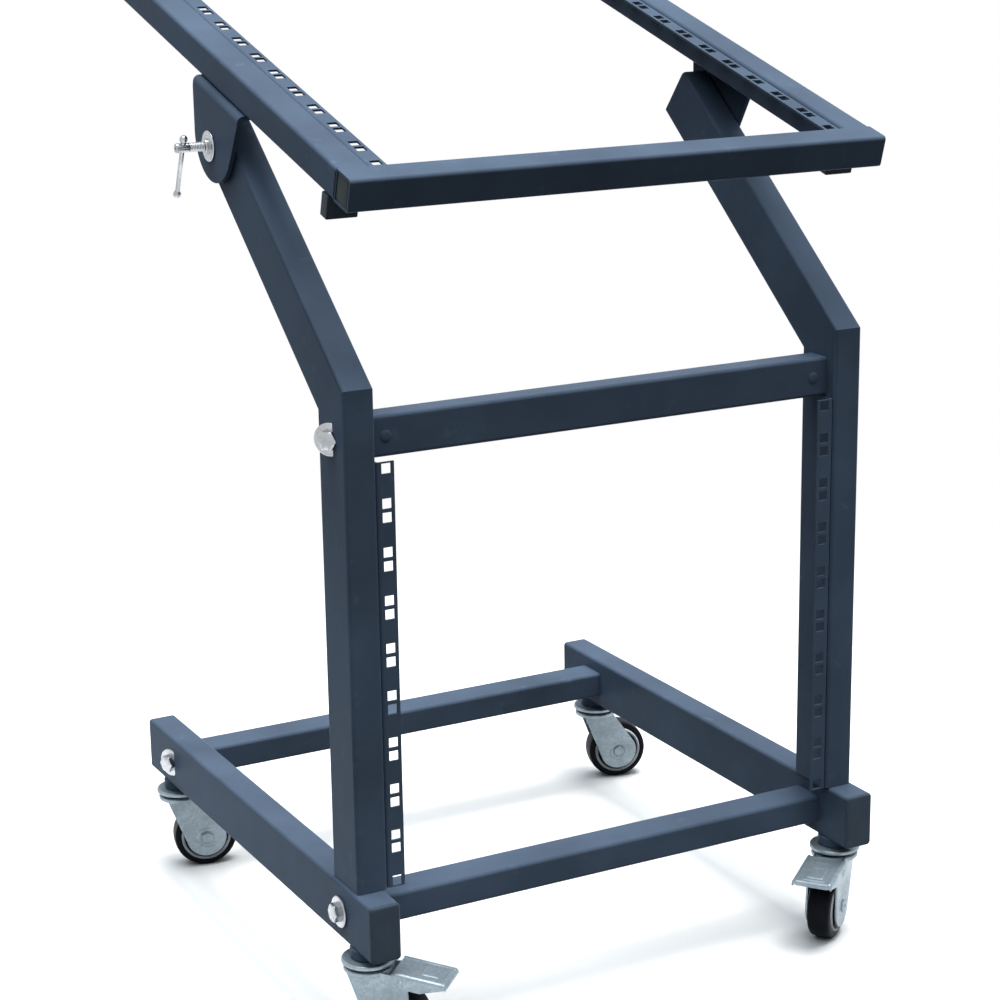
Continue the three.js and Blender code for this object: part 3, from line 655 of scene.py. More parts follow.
class RACK_OT_uprights(bpy.types.Operator):
    """Builds the two uprights that bend back into the slanted arms, and the bar between them"""
    bl_idname = "rack.uprights"
    bl_label = "Uprights"

    def execute(self, context):
        for side in SIDES:
            self.upright(side)
        self.middle_bar()
        return {"FINISHED"}

    def middle_bar(self):
        """The bar between the uprights, with its two rivet heads in front."""
        fasteners = sizes("rack_fasteners")
        radius, rise, inward = fasteners.rivet / 2, fasteners.rivet_height, fasteners.rivet_from_end
        low, high = node_box("middle_cross_bar")
        front = low.y + rise
        shape = Shape()
        shape.tube(Vector((low.x, front, low.z)), high, "X")
        for x in (low.x + inward, high.x - inward):
            shape.lathe([(radius * out, rise * up) for out, up in RIVET_DOME],
                        place=at((x, front, (low.z + high.z) / 2), QUARTER), steps=32)
        shape.piece("middle_bar_tube", "base_frame", "frame_paint", "middle_cross_bar", "powder_coat")

    def upright(self, side):
        """A tube that is mitred at its bend, with the plate that closes the arm's end."""
        tubes = sizes("rack_tubes")
        node = f"{side}_upright"
        low, high = node_box(node)
        width, middle = high.x - low.x, (low.x + high.x) / 2
        bend = Vector((low.y, node_box(f"{side}_front_rail_cap")[1].z + tubes.bend_height))
        up = Vector((math.sin(tubes.arm_lean), math.cos(tubes.arm_lean)))
        across = Vector((math.cos(tubes.arm_lean), -math.sin(tubes.arm_lean)))
        depth = 2 * (joint_point("top_rack_tilt").yz - bend).dot(across)

        def foot(x, inward):
            return x, low.y + inward, low.z

        def mitre(x, inward):
            return x, low.y + inward, bend.y - inward * math.tan(tubes.arm_lean / 2)

        def tip(x, inward):
            end = bend + up * tubes.arm_length + across * inward
            return x, end.x, end.y

        outside, bore = tube_section(width, depth)
        shape = Shape()
        shape.rings([[station(middle + x, y + depth / 2) for x, y in outline]
                     for outline, stations in ((outside, (foot, mitre, tip)), (bore, (tip, mitre, foot)))
                     for station in stations], True)
        end = at(tip(middle, depth / 2), -tubes.arm_lean)
        plate = rounded(width - tubes.wall, depth - tubes.wall, tubes.corner * 0.6)
        shape.prism(plate, -tubes.wall, 0, end, tubes.wall * 0.15)
        shape.piece(f"{side}_upright_tube", "base_frame", "frame_paint", node, "powder_coat", angle=30)


# Rack strips

def punch_tree():
    """Node tree that punches pairs of square holes along a folded strip."""
    tree, given = new_group("Punched strip", {
        "Units": "Int", "Unit": "Float", "Hole": "Float", "From edge": "Float", "Punch depth": "Float",
        "First": "Vector", "Step": "Vector", "Turn": "Vector", "Finish": "Material"})
    line = tree.node("GeometryNodeMeshLine", {
        "Count": given["Units"], "Start Location": given["First"], "Offset": given["Step"]}, mode="OFFSET")
    size = tree.node("ShaderNodeCombineXYZ", {0: given["Hole"], 1: given["Punch depth"], 2: given["Hole"]})
    punch = tree.node("GeometryNodeMeshCube", {"Size": size.outputs[0]}).outputs["Mesh"]
    rise = tree.math("SUBTRACT", given["Unit"], given["From edge"])
    pair = tree.node("GeometryNodeJoinGeometry")
    for height in (rise, given["From edge"]):
        offset = tree.node("ShaderNodeCombineXYZ", {2: height}).outputs[0]
        moved = tree.node("GeometryNodeTransform", {"Geometry": punch, "Translation": offset})
        tree.link(moved.outputs[0], pair.inputs[0])
    turned = tree.node("GeometryNodeTransform", {"Geometry": pair.outputs[0], "Rotation": given["Turn"]})
    placed = tree.node("GeometryNodeInstanceOnPoints", {
        "Points": line.outputs["Mesh"], "Instance": turned.outputs[0]}).outputs[0]
    punches = tree.node("GeometryNodeRealizeInstances", {"Geometry": placed}).outputs[0]
    holes = tree.node("GeometryNodeMeshBoolean", {"Mesh 1": given["Geometry"], "Mesh 2": punches},
                      operation="DIFFERENCE", solver="EXACT")
    return end_group(tree, holes.outputs["Mesh"], given["Finish"])


class RACK_OT_strips(bpy.types.Operator):
    """Folds the four rack strips and punches their square holes"""
    bl_idname = "rack.strips"
    bl_label = "Rack strips"

    def execute(self, context):
        tree = punch_tree()
        upright_axes = Matrix.Translation((joint_point("top_rack_tilt").x, 0, 0))
        lying_axes = rack_place() @ Matrix.Rotation(-QUARTER, 4, "X")
        for side, sign in SIDES.items():
            self.strip(tree, f"{side}_lower_rack_strip", sign, upright_axes, "base_frame")
            self.strip(tree, f"{side}_upper_rack_strip", sign, lying_axes, "top_rack")
        return {"FINISHED"}

    def strip(self, tree, node, sign, place, body):
        strips = sizes("rack_strips")
        low, high = node_box(node, place)
        inner, outer = sorted((abs(low.x), abs(high.x)))
        sheet, fold = strips.sheet, strips.fold
        face, back = low.y, high.y
        bend = (outer - fold, face + fold)
        outline = [(inner, face), *arc(bend, fold, -1, 0, 6), (outer, back), (outer - sheet, back),
                   *arc(bend, fold - sheet, 0, -1, 6), (inner, face + sheet)]
        shape = Shape(place)
        shape.rings([[(sign * x, y, z) for x, y in outline] for z in (low.z, high.z)])
        blank = shape.make(f"{node}_blank", "powder_coat")
        units = round((high.z - low.z) / strips.unit)
        start = (low.z + high.z - units * strips.unit) / 2
        piece = on_nodes(blank, tree, {
            "Units": units, "Unit": strips.unit, "Hole": strips.hole, "From edge": strips.hole_from_edge,
            "Punch depth": sheet * 6, "First": place @ Vector((sign * strips.column, face, start)),
            "Step": place.to_3x3() @ Vector((0, 0, strips.unit)), "Turn": Vector(place.to_euler()),
            "Finish": bpy.data.materials["powder_coat"]}, f"{node}_punched")
        settle(piece, body, [node])


# Fasteners

def repeat_tree():
    """Node tree that sets one fastener on each point, turned as the point's own attribute says."""
    tree, given = new_group("Fastener on each point", {"Fastener": "Object", "Finish": "Material"})
    fastener = tree.node("GeometryNodeObjectInfo", {"Object": given["Fastener"]}).outputs["Geometry"]
    turn = tree.node("GeometryNodeInputNamedAttribute", {"Name": "turn"}, data_type="FLOAT_VECTOR").outputs[0]
    placed = tree.node("GeometryNodeInstanceOnPoints", {
        "Points": given["Geometry"], "Instance": fastener, "Rotation": turn}).outputs[0]
    return end_group(tree, placed, given["Finish"])


def hex_head(shape, flats, low, high, place=None, steps=72):
    """A hexagon head whose corners are turned down at the top."""
    chamfer, slope = (high - low) * 0.16, 1.75
    rim = flats / 2 * 0.96
    rings = []
    for step in range(7):
        height = low + (high - low - chamfer * 2) * step / 2 if step < 2 else high - chamfer * (6 - step) / 2
        ring = []
        for corner in range(steps):
            turn = corner * math.tau / steps
            across = flats / 2 / math.cos((turn + math.pi / 6) % (math.pi / 3) - math.pi / 6)
            radius = min(across, rim + (high - height) * slope)
            ring.append((radius * math.cos(turn), radius * math.sin(turn), height))
        rings.append(ring)
    rings.append([(x * 0.5, y * 0.5, high) for x, y, _ in rings[-1]])
    shape.rings(rings, place=place)


# How much further each frame bolt is turned than the one before, in radians
BOLT_TURN = 0.37


class RACK_OT_bolts(bpy.types.Operator):
    """Sets the six frame bolts with their large washers"""
    bl_idname = "rack.bolts"
    bl_label = "Frame bolts"

    def execute(self, context):
        fasteners = sizes("rack_fasteners")
        shape = Shape()
        radius, thick = fasteners.washer / 2, fasteners.washer_thickness
        bore, edge = fasteners.washer_bore / 10, thick * 0.3
        shape.lathe([(bore, 0), (radius - edge, 0), (radius, edge), (radius, thick - edge),
                     (radius - edge, thick), (bore, thick)], True)
        height = thick + fasteners.head_height
        hex_head(shape, fasteners.head_flats, thick, height)
        template = shape.make("frame_bolt_template", "nickel_plating")
        even_shading(template)
        nodes, points, turns = [], [], []
        for side, sign in SIDES.items():
            for name in ("front_rail", "rear_rail", "cross_bar"):
                nodes.append(f"{side}_{name}_bolt")
                low, high = node_box(nodes[-1])
                face = high.x - height if sign > 0 else low.x + height
                points.append((face, (low.y + high.y) / 2, (low.z + high.z) / 2))
                turns += (len(points) - 1) * BOLT_TURN, sign * QUARTER, 0
        mesh = bpy.data.meshes.new("bolt_points")
        mesh.from_pydata(points, [], [])
        mesh.attributes.new("turn", "FLOAT_VECTOR", "POINT").data.foreach_set("vector", turns)
        piece = on_nodes(in_scene("bolt_points", mesh), repeat_tree(), {
            "Fastener": template, "Finish": bpy.data.materials["nickel_plating"]}, "frame_bolts")
        bpy.data.objects.remove(template)
        settle(piece, "base_frame", nodes)
        return {"FINISHED"}


# Tilting rack

# A plug's end from its middle outwards: its height as a share of half the plug, and its inset in corner radii
PLUG_END = ((1, 2), (1, 1.5), (0.95, 1.1), (0.95, 0.3), (0.985, 0))


class RACK_OT_top_rack(bpy.types.Operator):
    """Builds the tilting frame: bars, side tubes, plugs, stop blocks and pivot brackets"""
    bl_idname = "rack.top_rack"
    bl_label = "Tilting rack"

    def execute(self, context):
        place = rack_place()
        for node in ("rack_front_bar", "rack_rear_bar"):
            shape = Shape(place)
            shape.tube(*node_box(node, place), "X")
            shape.piece(f"{node}_tube", "top_rack", "frame_paint", node, "powder_coat")
        for side, sign in SIDES.items():
            self.side_tube(side, place)
            self.plug(f"{side}_front", place)
            self.plug(f"{side}_rear", place)
            shape = Shape(place)
            shape.block(*node_box(f"{side}_stop_block", place), sizes("rack_tubes").stop_edge)
            shape.piece(f"{side}_stop", "top_rack", "stop_rubber", f"{side}_stop_block", "cap_moulding")
            self.bracket(side, sign, place)
        return {"FINISHED"}

    def side_tube(self, side, place):
        """A side tube, run on into the rounding of the bars' corners."""
        tubes = sizes("rack_tubes")
        node = f"{side}_rack_side_tube"
        low, high = node_box(node, place)
        into_bar = Vector((0, tubes.seat + tubes.corner, 0))
        shape = Shape(place)
        shape.tube(low - into_bar, high + into_bar, "Y")
        shape.piece(f"{side}_rack_tube", "top_rack", "frame_paint", node, "powder_coat")

    def plug(self, end, place):
        """The plug in a bar's end, with a groove round its face."""
        corner = sizes("rack_tubes").corner
        node = f"{end}_bar_plug"
        low, high = node_box(node, place)
        deep, tall, half = high.y - low.y, high.z - low.z, (high.x - low.x) / 2
        rings = [[(x, y, half * share)
                  for x, y in rounded(deep - inset * corner, tall - inset * corner, corner / 2)]
                 for share, inset in PLUG_END]
        shape = Shape(place @ Matrix.Translation((low + high) / 2) @ LAY["X"])
        shape.rings([[(x, y, -z) for x, y, z in ring] for ring in rings] + rings[::-1])
        shape.piece(f"{end}_tube_plug", "top_rack", "cap_plastic", node, "plug_moulding")

    def bracket(self, side, sign, place):
        """A bent sheet: its flat top lies on the side tube, and its rounded leaf hangs outside the arm."""
        tubes = sizes("rack_tubes")
        node = f"{side}_pivot_bracket"
        low, high = node_box(node, place)
        sheet, fold = tubes.bracket_sheet, tubes.bracket_fold
        radius, rise = tubes.bracket_end, tubes.bracket_rise
        inner, face = sorted((abs(low.x), abs(high.x)))
        top = high.z
        half, offset = (high.y - low.y) / 2, (high.y + low.y) / 2
        reach = top - rise
        start = (math.atan2(reach, half) - math.acos(radius / math.hypot(half, reach))) / QUARTER
        corner = top - fold - sheet
        foot = [(offset - half, corner), *arc((offset, rise), radius, 2 - start, 4 + start, 56),
                (offset + half, corner)]
        upper, lower = [], []
        for y, bottom in foot:
            # The sheet's outer face, then its inner face
            for rows, gap in ((upper, 0), (lower, sheet)):
                section = [(inner, top - gap), ((inner + face - fold) / 2, top - gap)]
                section += arc((face - fold, top - fold), fold - gap, 1, 0, 8)
                section += [(face - gap, (top - fold) * share + bottom * (1 - share))
                            for share in (0.6, 0.3, 0)]
                rows.append([(sign * x, y, z) for x, z in section])
        shape = Shape(place)
        shape.sheet(upper, lower)
        pad, thick = tubes.pad / 2, tubes.pad_thickness
        edge = thick / 4
        seat = at((sign * (face - sheet - thick), 0, 0), sign * QUARTER, "Y")
        shape.lathe([(pad / 3, 0), (pad - edge, 0), (pad, edge), (pad, thick), (pad / 3, thick)], True, seat)
        shape.piece(f"{side}_bracket", "top_rack", "frame_paint", node, "powder_coat",
                    bevel=tubes.bracket_edge)


# Clamps

class RACK_OT_clamps(bpy.types.Operator):
    """Builds the clamp screws with their threads, collars and washers, and the sliding bars"""
    bl_idname = "rack.clamps"
    bl_label = "Clamps"

    def execute(self, context):
        for side, sign in SIDES.items():
            self.screw(side, sign)
            self.bar(side)
        return {"FINISHED"}

    def screw(self, side, sign):
        fasteners = sizes("rack_fasteners")
        node = f"{side}_clamp_screw"
        low, high = node_box(node)
        pivot = joint_point("top_rack_tilt")
        end = max(abs(low.x - pivot.x), abs(high.x - pivot.x))
        rim = (high.y - low.y) / 2
        washer, collar, radius = fasteners.screw_washer, fasteners.collar / 2, fasteners.screw / 2
        face = end - fasteners.screw_reach
        start, collar_end = face - washer, face + fasteners.collar_length
        bore = radius / 4
        shape = Shape(at(pivot, sign * QUARTER, "Y"))
        shape.lathe([(bore, start), (rim - washer * 0.2, start), (rim, start + washer * 0.2),
                     (rim, start + washer * 0.55), (rim - washer * 0.25, start + washer * 0.8),
                     (rim - washer, start + washer), (collar + washer, face), (bore, face)], True, steps=72)
        shape.lathe([(bore, face), (collar, face), (collar, collar_end - washer / 2),
                     (collar - washer * 0.15, collar_end - washer * 0.15), (collar - washer / 2, collar_end),
                     (bore, collar_end)], True)
        smooth = end - fasteners.shank * 3
        self.thread(shape, start - fasteners.screw * 2, smooth, fasteners)
        tip = radius / 6
        shape.lathe([(bore, smooth), (radius - tip, smooth), (radius, smooth + tip), (radius, end - tip),
                     (radius - tip, end), (bore, end)], True, steps=40)
        shape.piece(f"{side}_clamp_screw_turned", f"{side}_clamp", "zinc_plate", node, "nickel_plating",
                    angle=50)

    def thread(self, shape, low, high, fasteners):
        """A screw thread: one rounded ridge that winds round the shank."""
        steps, per_turn = 32, 5
        rows = int((high - low) / fasteners.thread_pitch) * per_turn
        rings = []
        for row in range(rows + 1):
            ring = []
            for step in range(steps):
                turn = step * math.tau / steps
                ridge = (1 + math.cos(row * math.tau / per_turn - turn)) / 2
                out = fasteners.screw / 2 - fasteners.thread_depth * (1 - ridge)
                ring.append((out * math.cos(turn), out * math.sin(turn), low + (high - low) * row / rows))
            rings.append(ring)
        shape.rings(rings)

    def bar(self, side):
        """A sliding bar with a ball at each end, turned in one piece."""
        node = f"{side}_tommy_bar"
        slide = Vector(JOINTS[f"{side}_tommy_slide"]["axis"])
        low, high = node_box(node)
        pivot = joint_point("top_rack_tilt")
        middle = Vector(((low.x + high.x) / 2, pivot.y, pivot.z))
        place = at(middle, math.atan2(-slide.y, slide.z))
        local_low, local_high = node_box(node, place)
        ball = (high.x - low.x) / 2
        turns = [step / 12 * math.pi for step in range(1, 10)]
        ends = [(ball * math.sin(turn), ball * (1 - math.cos(turn))) for turn in turns]
        ends.append((sizes("rack_fasteners").shank / 2, ball * 2))
        outline = [(radius, local_low.z + depth) for radius, depth in ends]
        outline += [(radius, local_high.z - depth) for radius, depth in reversed(ends)]
        shape = Shape(place)
        shape.lathe(outline, steps=36)
        shape.piece(f"{side}_tommy_bar_turned", f"{side}_tommy", "zinc_plate", node, "nickel_plating",
                    angle=60)


# Castors

# The ring that is pressed into a cheek round the axle: radius and height over the cheek, in metres
AXLE_RING = ((0.0060, -0.001), (0.0124, -0.001), (0.0112, 0), (0.0098, 0.0004), (0.0078, 0.0004), (0.0068, 0))
# The turned end of an axle: radius in axle radii, and depth in head heights
AXLE_END = ((1.5, 1), (1.5, 0.55), (1.35, 0.2), (0.95, 0.03), (0.45, 0), (0.425, 0.35), (0.05, 0.4))


class RACK_OT_castors(bpy.types.Operator):
    """Builds the castors: heads, pressed yokes, axles, wheels and tyres"""
    bl_idname = "rack.castors"
    bl_label = "Castors"

    def execute(self, context):
        for name in CASTORS:
            place = castor_place(name)
            self.head(name, place)
            self.yoke(name, place)
            self.axle(name, place)
            self.wheel(name, place)
        return {"FINISHED"}

    def head(self, name, place):
        """The plate over the ball race, and the stem with its lower head."""
        node = f"{name}_castor_head"
        low, high = node_box(node, place)
        crown_top = node_box(f"{name}_castor_yoke", place)[1].z
        boss_low = node_box(f"{name.split('_')[0]}_side_rail")[0].z
        castors = sizes("rack_castors")
        seat = sizes("rack_tubes").seat
        edge, race, neck = (high.x - low.x) / 2, castors.race / 2, castors.stem / 2
        top, plate = boss_low - seat, castors.plate
        under, race_low = top - plate, crown_top + seat
        race_high = (race_low + under) / 2
        bulge = plate / 3
        shape = Shape(place)
        shape.lathe([(neck, race_low), (race - bulge, race_low), (race, race_low + bulge * 0.6),
                     (race + bulge, race_high), (race, under - bulge * 0.6), (race, under),
                     (edge - plate, under), (edge - bulge, under - bulge), (edge, under - bulge * 0.4),
                     (edge, top - plate * 0.5), (edge - plate * 0.12, top - plate * 0.22),
                     (edge - plate * 0.4, top - plate * 0.06), (edge - plate, top), (neck, top)],
                    True, steps=80)
        head, head_top = castors.stem_head / 2, low.z + castors.stem_head_height
        chamfer, core = head / 8, neck / 5
        shape.lathe([(core, low.z), (head - chamfer, low.z), (head, low.z + chamfer), (head, head_top),
                     (neck, head_top), (neck, top), (core, top)], True, steps=40)
        shape.piece(f"{name}_castor_plate", "base_frame", "zinc_plate", node, "zinc_plating", angle=44)

    def yoke(self, name, place):
        """The pressed yoke: a crown under the ball race, and a cheek on each side of the wheel."""
        castors = sizes("rack_castors")
        node = f"{name}_castor_yoke"
        low, high = node_box(node, place)
        crown, rim, sheet = castors.crown / 2, castors.crown_sheet, castors.cheek_sheet
        top, face = high.z, castors.cheek_outer
        trail, axle_z = castor_joint(name, "wheel_turn")
        soft, under, bore = rim * 0.4, top - rim, crown / 4
        shape = Shape(place)
        shape.lathe([(bore, under), (crown - soft * 2, under), (crown - soft, under - soft * 0.7),
                     (crown - soft * 0.3, under - soft * 0.5), (crown, under), (crown, top - soft),
                     (crown - soft * 0.3, top - soft * 0.3), (crown - soft, top), (bore, top)],
                    True, steps=80)
        shoulder = rim / 2
        shoulder_x = math.sqrt(crown ** 2 - face ** 2) - shoulder
        circles = [(-shoulder_x, top - shoulder, shoulder), (shoulder_x, top - shoulder, shoulder),
                   (trail, axle_z, axle_z - low.z)]
        if name in BRAKED:
            circles.append((*castor_joint(name, "brake_press"), castors.ear))
        outline = wrap(circles)
        for sign in (-1, 1):
            cheek = at((0, sign * (face - sheet / 2), 0), QUARTER)
            shape.prism(outline, -sheet / 2, sheet / 2, cheek, sheet * 0.3)
            shape.lathe(AXLE_RING, True, at((trail, sign * face, axle_z), -sign * QUARTER), steps=48)
        shape.piece(f"{name}_pressed_yoke", f"{name}_swivel", "zinc_plate", node, "zinc_plating", angle=44)

    def axle(self, name, place):
        """The axle: turned and sunk at one end, with a hexagon head at the other."""
        castors = sizes("rack_castors")
        node = f"{name}_castor_axle"
        trail, axle_z = castor_joint(name, "wheel_turn")
        outer = node_box(node, place)[1].y
        radius, head = castors.axle / 2, castors.axle_head
        shape = Shape(place @ Matrix.Translation((trail, 0, axle_z)))
        laid = Matrix.Rotation(-QUARTER, 4, "X")
        shape.lathe([(radius, -outer + head / 2), (radius, outer - head / 2)], place=laid, steps=32)
        shape.lathe([(radius * out, outer - head * depth) for out, depth in AXLE_END], place=laid, steps=40)
        hex_head(shape, castors.axle_flats, outer - head, outer, Matrix.Rotation(QUARTER, 4, "X"), 48)
        shape.piece(f"{name}_axle_bolt", f"{name}_swivel", "zinc_plate", node, "zinc_plating", angle=44)

    def wheel(self, name, place):
        """The tyre, and the wheel's core with a bright rim round the dish on each side. The dish is
        near-black: painted shade for the shade in it, over a core that is black too.
        """
        castors = sizes("rack_castors")
        core, tyre = f"{name}_wheel_core", f"{name}_tyre"
        trail, axle_z = castor_joint(name, "wheel_turn")
        hub = place @ at((trail, 0, axle_z), -QUARTER)
        low, high = node_box(tyre, place)
        half, radius = (high.y - low.y) / 2, (high.z - low.z) / 2
        low, high = node_box(core, place)
        guard, guard_half = (high.z - low.z) / 2, high.y
        shoulder, crown = castors.tyre_shoulder, castors.tyre_crown
        profile = [(radius - castors.tread, -half + crown * 2.5), (guard + crown, -half + crown * 2.5),
                   (guard + crown * 1.5, -half + crown / 2), (guard + crown * 3.5, -half),
                   (radius - shoulder, -half + crown)]
        for step in range(1, 7):
            turn = step / 6 * QUARTER
            profile.append((radius - shoulder + shoulder * math.sin(turn) - crown,
                            -half + crown + shoulder * (1 - math.cos(turn))))
        profile.append((radius, -half * 0.36))
        shape = Shape(hub)
        shape.lathe(both_sides(profile), True, steps=96)
        shape.piece(f"{name}_tyre_tread", f"{name}_wheel", "tyre", tyre, "tyre_rubber", angle=50)
        rim, dish = castors.guard_rim, castors.guard_dish
        bore, dished = guard / 6, guard_half - dish
        rest = radius - castors.tread - sizes("rack_tubes").seat
        profile = [(bore, -dished), (bore * 2, -dished), (bore * 2.2, -dished + dish / 2),
                   (guard - rim * 1.5, -dished + dish / 2), (guard - rim, -dished),
                   (guard - rim, -half + dish), (rest, -half + dish)]
        shape = Shape(hub)
        # The dish faces take the second finish, near-black painted shade over a black core
        shape.finish = 1
        shape.lathe(both_sides(profile), True, steps=96)
        shape.finish = 0
        soft = rim / 4
        ring = [(guard - rim, half - dish), (guard, half - dish), (guard, guard_half - soft * 1.6),
                (guard - soft, guard_half - soft * 0.4), (guard - rim / 2, guard_half),
                (guard - rim + soft, guard_half - soft * 0.4), (guard - rim, guard_half - soft * 1.6)]
        for side in (-1, 1):
            shape.lathe([(out, along * side) for out, along in ring], True, steps=96)
        shape.piece(f"{name}_wheel_guard", f"{name}_wheel", "wheel_plastic", core, "guard_rim", "guard_dish",
                    angle=44)


# The pad and the rib pressed into a pedal: place along it, as a share of its reach, and rise in sheets
PAD_PLACE, PAD_RISE = 0.56, 0.55
RIB_PLACE, RIB_RISE = 0.86, 0.4
RIB_WIDTH = 1.4  # in pad widths


class RACK_OT_pedals(bpy.types.Operator):
    """Presses the brake pedals of the front castors"""
    bl_idname = "rack.pedals"
    bl_label = "Brake pedals"

    def execute(self, context):
        for name in BRAKED:
            self.pedal(name)
        return {"FINISHED"}

    def pedal(self, name):
        """One pressed sheet with skirts and a turned-down nose, its pin and its shoe."""
        castors = sizes("rack_castors")
        node = f"{name}_brake_pedal"
        ahead, pin_z = castor_joint(name, "brake_press")
        place = castor_place(name) @ at((ahead, 0, pin_z), castors.pedal_droop, "Y")
        low, high = node_box(node, place)
        sheet, fold = castors.pedal_sheet, castors.pedal_fold
        skirt, lip = castors.pedal_skirt, castors.pedal_lip
        back, tip, half, top = low.x, high.x, high.y, high.z
        nose, straight = lip - sheet, tip * 0.45
        along, round_nose, across = 96, 8, 28
        stations = [(back + (tip - nose - back) * step / along, 0) for step in range(along + 1)]
        stations += [(tip - nose + nose * math.sin(turn), nose * (1 - math.cos(turn)))
                     for turn in [step / round_nose * QUARTER for step in range(1, round_nose + 1)]]
        flat = [(-half + fold) * (1 - step / across) for step in range(1, across + 1)]
        upper, lower = [], []
        # drop is how far the nose has turned down. The skirts grow shorter towards it.
        for x, drop in stations:
            taper = min(1.0, max(0.0, (x - straight) / (tip - straight)))
            bottom = -skirt + (top - lip + skirt) * taper
            for rows, gap in ((upper, 0), (lower, sheet)):
                side = [(-half + gap, bottom + (top - drop - fold - bottom) * share) for share in (0, 0.5)]
                side += [(y, z - drop) for y, z in arc((-half + fold, top - fold), fold - gap, 2, 1, 7)]
                side += [(y, top - gap - drop + self.press(x, y, castors, tip)) for y in flat]
                rows.append([(x, y, z) for y, z in side] + [(x, -y, z) for y, z in side[-2::-1]])
        shape = Shape(place)
        shape.sheet(upper, lower)
        wide, radius, under = castors.shoe_width / 2, castors.pin / 2, top - sheet / 2
        shape.block((-radius, -wide, -radius / 2), (radius, wide, under), radius / 5)
        shape.block((castors.shoe_near, -wide, -castors.shoe_drop), (castors.shoe_far, wide, under),
                    castors.shoe_edge)
        laid = Matrix.Rotation(QUARTER, 4, "X")
        head, core = radius * 1.5, radius / 5
        pin = [(core, -half - sheet / 3), (head * 0.8, -half - sheet / 3),
               (head, -half + sheet / 6), (radius, -half + sheet / 6)]
        shape.lathe(both_sides(pin), place=laid, steps=32)
        shape.piece(f"{name}_pedal_pressing", f"{name}_brake", "zinc_plate", node, "zinc_plating", angle=50)

    def press(self, x, y, castors, tip):
        """Height that the press tool gave the pedal's top: a square pad, and a rib behind the tip."""
        pad, slope = castors.pedal_pad / 2, castors.pedal_sheet / 3
        outside_pad = max(abs(x - tip * PAD_PLACE), abs(y)) - pad
        outside_rib = max(abs(x - tip * RIB_PLACE) - slope, abs(y) - pad * RIB_WIDTH)
        raised, rib = (min(1.0, max(0.0, -outside / slope)) for outside in (outside_pad, outside_rib))
        return castors.pedal_sheet * (raised * PAD_RISE + rib * RIB_RISE - PAD_RISE)


# Stage

# The photograph's camera: place in metres from the rails' top at the uprights' front, angles in degrees
CAMERA = {
    "place": (-1.0992122, -1.8445732, 0.9110566),
    "azimuth": -27.918612, "elevation": 15.030635, "roll": -0.843181,
}
# How far the key light is turned from straight down, in degrees
KEY_TURN = (3, 4, 0)
# The floor's two pale tones, as the camera sees them
FLOOR_TINTS = ((0.97, 0.94, 0.91), (0.99, 0.96, 0.93))
# How steeply a ray has to rise, from level at 0 to straight up at 1, before the room gives it light
ROOM_RISE = (0.4, 1)
WHITE = (1, 1, 1, 1)


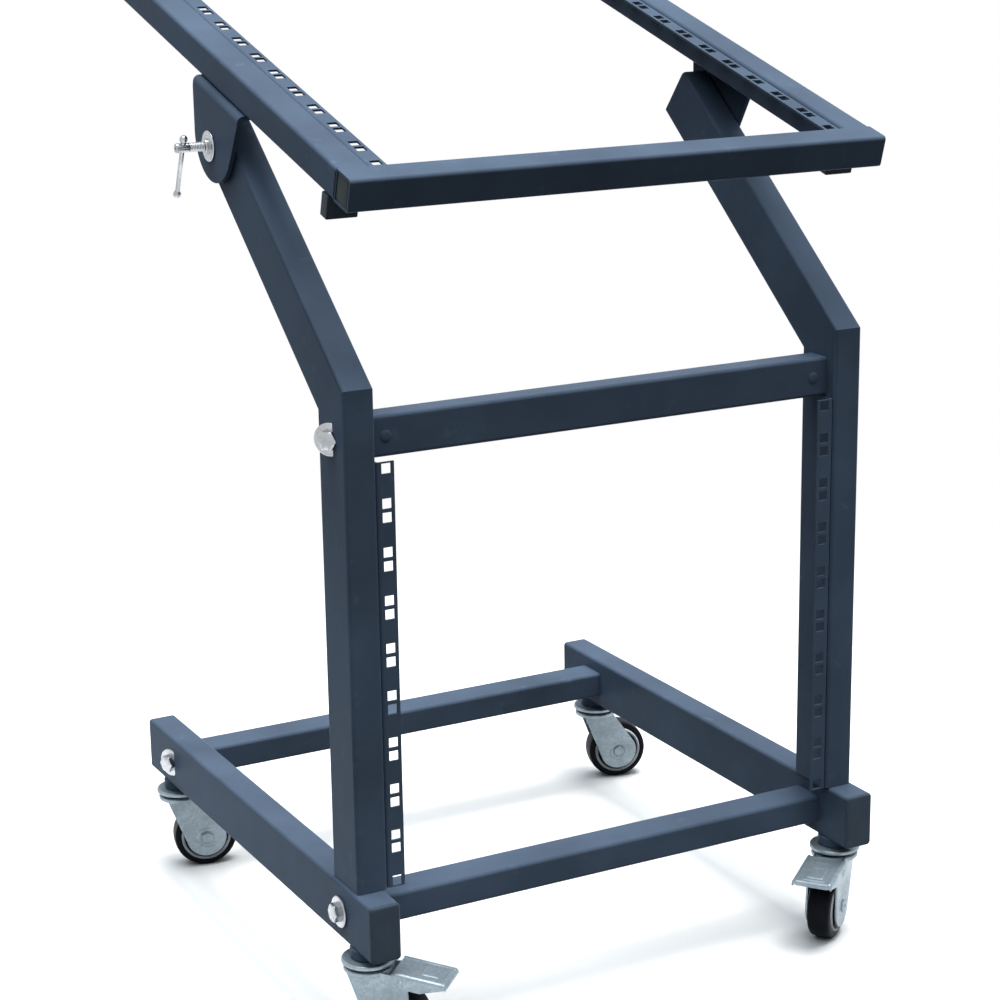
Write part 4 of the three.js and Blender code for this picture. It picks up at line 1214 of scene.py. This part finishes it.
class RACK_OT_stage(bpy.types.Operator):
    """Sets the floor, the room's light, the key light and the camera"""
    bl_idname = "rack.stage"
    bl_label = "Stage"

    def execute(self, context):
        stage = sizes("rack_stage")
        self.floor(stage)
        self.room(context, stage)
        self.lamp(stage)
        self.camera(context, stage)
        context.scene.view_settings.view_transform = "Standard"
        return {"FINISHED"}

    def floor(self, stage):
        half = stage.floor_size / 2
        corners = [(-half, -half, 0), (half, -half, 0), (half, half, 0), (-half, half, 0)]
        mesh = bpy.data.meshes.new("floor")
        mesh.from_pydata(corners, [], [(0, 1, 2, 3)])
        floor = in_scene("floor", mesh)
        material = bpy.data.materials.new("pale_floor")
        tree = empty_tree(material)
        where = tree.node("ShaderNodeTexCoord").outputs["Object"]
        away = tree.node("ShaderNodeVectorMath", {0: where}, operation="LENGTH").outputs["Value"]
        pale = tree.mix(tree.noise(where, scale=60), *(opaque(tint) for tint in FLOOR_TINTS))
        tone = tree.mix(self.seen(tree), opaque(stage.floor_bounce), pale)
        matt = tree.node("ShaderNodeBsdfDiffuse", {"Color": tone}).outputs[0]
        glow = tree.node("ShaderNodeEmission", {"Color": WHITE, "Strength": self.seen(tree)}).outputs[0]
        share = tree.spread(away, (stage.glow_start, stage.glow_full), (0, 1))
        mixed = tree.node("ShaderNodeMixShader", {0: share, 1: matt, 2: glow}).outputs[0]
        tree.node("ShaderNodeOutputMaterial", {"Surface": mixed})
        mesh.materials.append(material)

    def room(self, context, stage):
        world = bpy.data.worlds.new("room")
        context.scene.world = world
        tree = empty_tree(world)
        ray = tree.node("ShaderNodeTexCoord").outputs["Generated"]
        rise = tree.node("ShaderNodeSeparateXYZ", {0: ray}).outputs[2]
        strength = tree.spread(rise, ROOM_RISE, (0, stage.ambient))
        air = opaque(stage.air)
        light = tree.node("ShaderNodeBackground", {"Color": air, "Strength": strength}).outputs[0]
        backdrop = tree.node("ShaderNodeBackground", {"Color": WHITE, "Strength": 1.0}).outputs[0]
        mixed = tree.node("ShaderNodeMixShader", {0: self.seen(tree), 1: light, 2: backdrop}).outputs[0]
        tree.node("ShaderNodeOutputWorld", {"Surface": mixed})

    def seen(self, tree):
        """One for what the camera sees, also in metal or through glass, and zero for light on the rack."""
        path = tree.node("ShaderNodeLightPath").outputs
        straight = tree.math("MAXIMUM", path["Is Camera Ray"], path["Is Glossy Ray"])
        return tree.math("MAXIMUM", straight, path["Is Transmission Ray"])

    def lamp(self, stage):
        data = bpy.data.lights.new("key", "SUN")
        data.energy = stage.key
        data.angle = stage.key_softness
        lamp = in_scene("key", data)
        lamp.rotation_euler = [math.radians(value) for value in KEY_TURN]

    def camera(self, context, stage):
        azimuth, elevation, roll = (math.radians(CAMERA[name]) for name in ("azimuth", "elevation", "roll"))
        back = Vector((math.sin(azimuth) * math.cos(elevation), -math.cos(azimuth) * math.cos(elevation),
                       math.sin(elevation)))
        right = Vector((math.cos(azimuth), math.sin(azimuth), 0))
        up = back.cross(right)
        right, up = math.cos(roll) * right + math.sin(roll) * up, math.cos(roll) * up - math.sin(roll) * right
        data = bpy.data.cameras.new("camera")
        data.sensor_width = 36
        data.lens = stage.camera_lens
        matrix = Matrix((right, up, back)).transposed().to_4x4()
        rail_top = node_box("left_front_rail_cap")[1].z
        upright_face = node_box("left_upright")[0].y
        middle = joint_point("top_rack_tilt").x
        matrix.translation = Vector(CAMERA["place"]) + Vector((middle, upright_face, rail_top))
        camera = in_scene("camera", data)
        camera.matrix_world = matrix
        context.scene.camera = camera


OPERATORS = (
    RACK_OT_finishes, RACK_OT_base, RACK_OT_uprights, RACK_OT_strips, RACK_OT_bolts,
    RACK_OT_top_rack, RACK_OT_clamps, RACK_OT_castors, RACK_OT_pedals, RACK_OT_stage,
)


class RACK_PT_panel(bpy.types.Panel):
    """Lists the rack's build steps"""
    bl_label = "Rolling Equipment Rack"
    bl_idname = "RACK_PT_panel"
    bl_space_type = "VIEW_3D"
    bl_region_type = "UI"
    bl_category = "Rack"

    def draw(self, context):
        column = self.layout.column(align=True)
        for operator in OPERATORS:
            column.operator(operator.bl_idname)


def register():
    for group in GROUPS.values():
        bpy.utils.register_class(group)
    for name, group in GROUPS.items():
        setattr(bpy.types.Scene, name, bpy.props.PointerProperty(type=group))
    for operator in OPERATORS:
        bpy.utils.register_class(operator)
    bpy.utils.register_class(RACK_PT_panel)


def unregister():
    bpy.utils.unregister_class(RACK_PT_panel)
    for operator in reversed(OPERATORS):
        bpy.utils.unregister_class(operator)
    for name, group in GROUPS.items():
        delattr(bpy.types.Scene, name)
        bpy.utils.unregister_class(group)


def main():
    register()
    for operator in OPERATORS:
        getattr(bpy.ops.rack, operator.bl_idname.split(".")[1])()


if __name__ == "__main__":
    main()
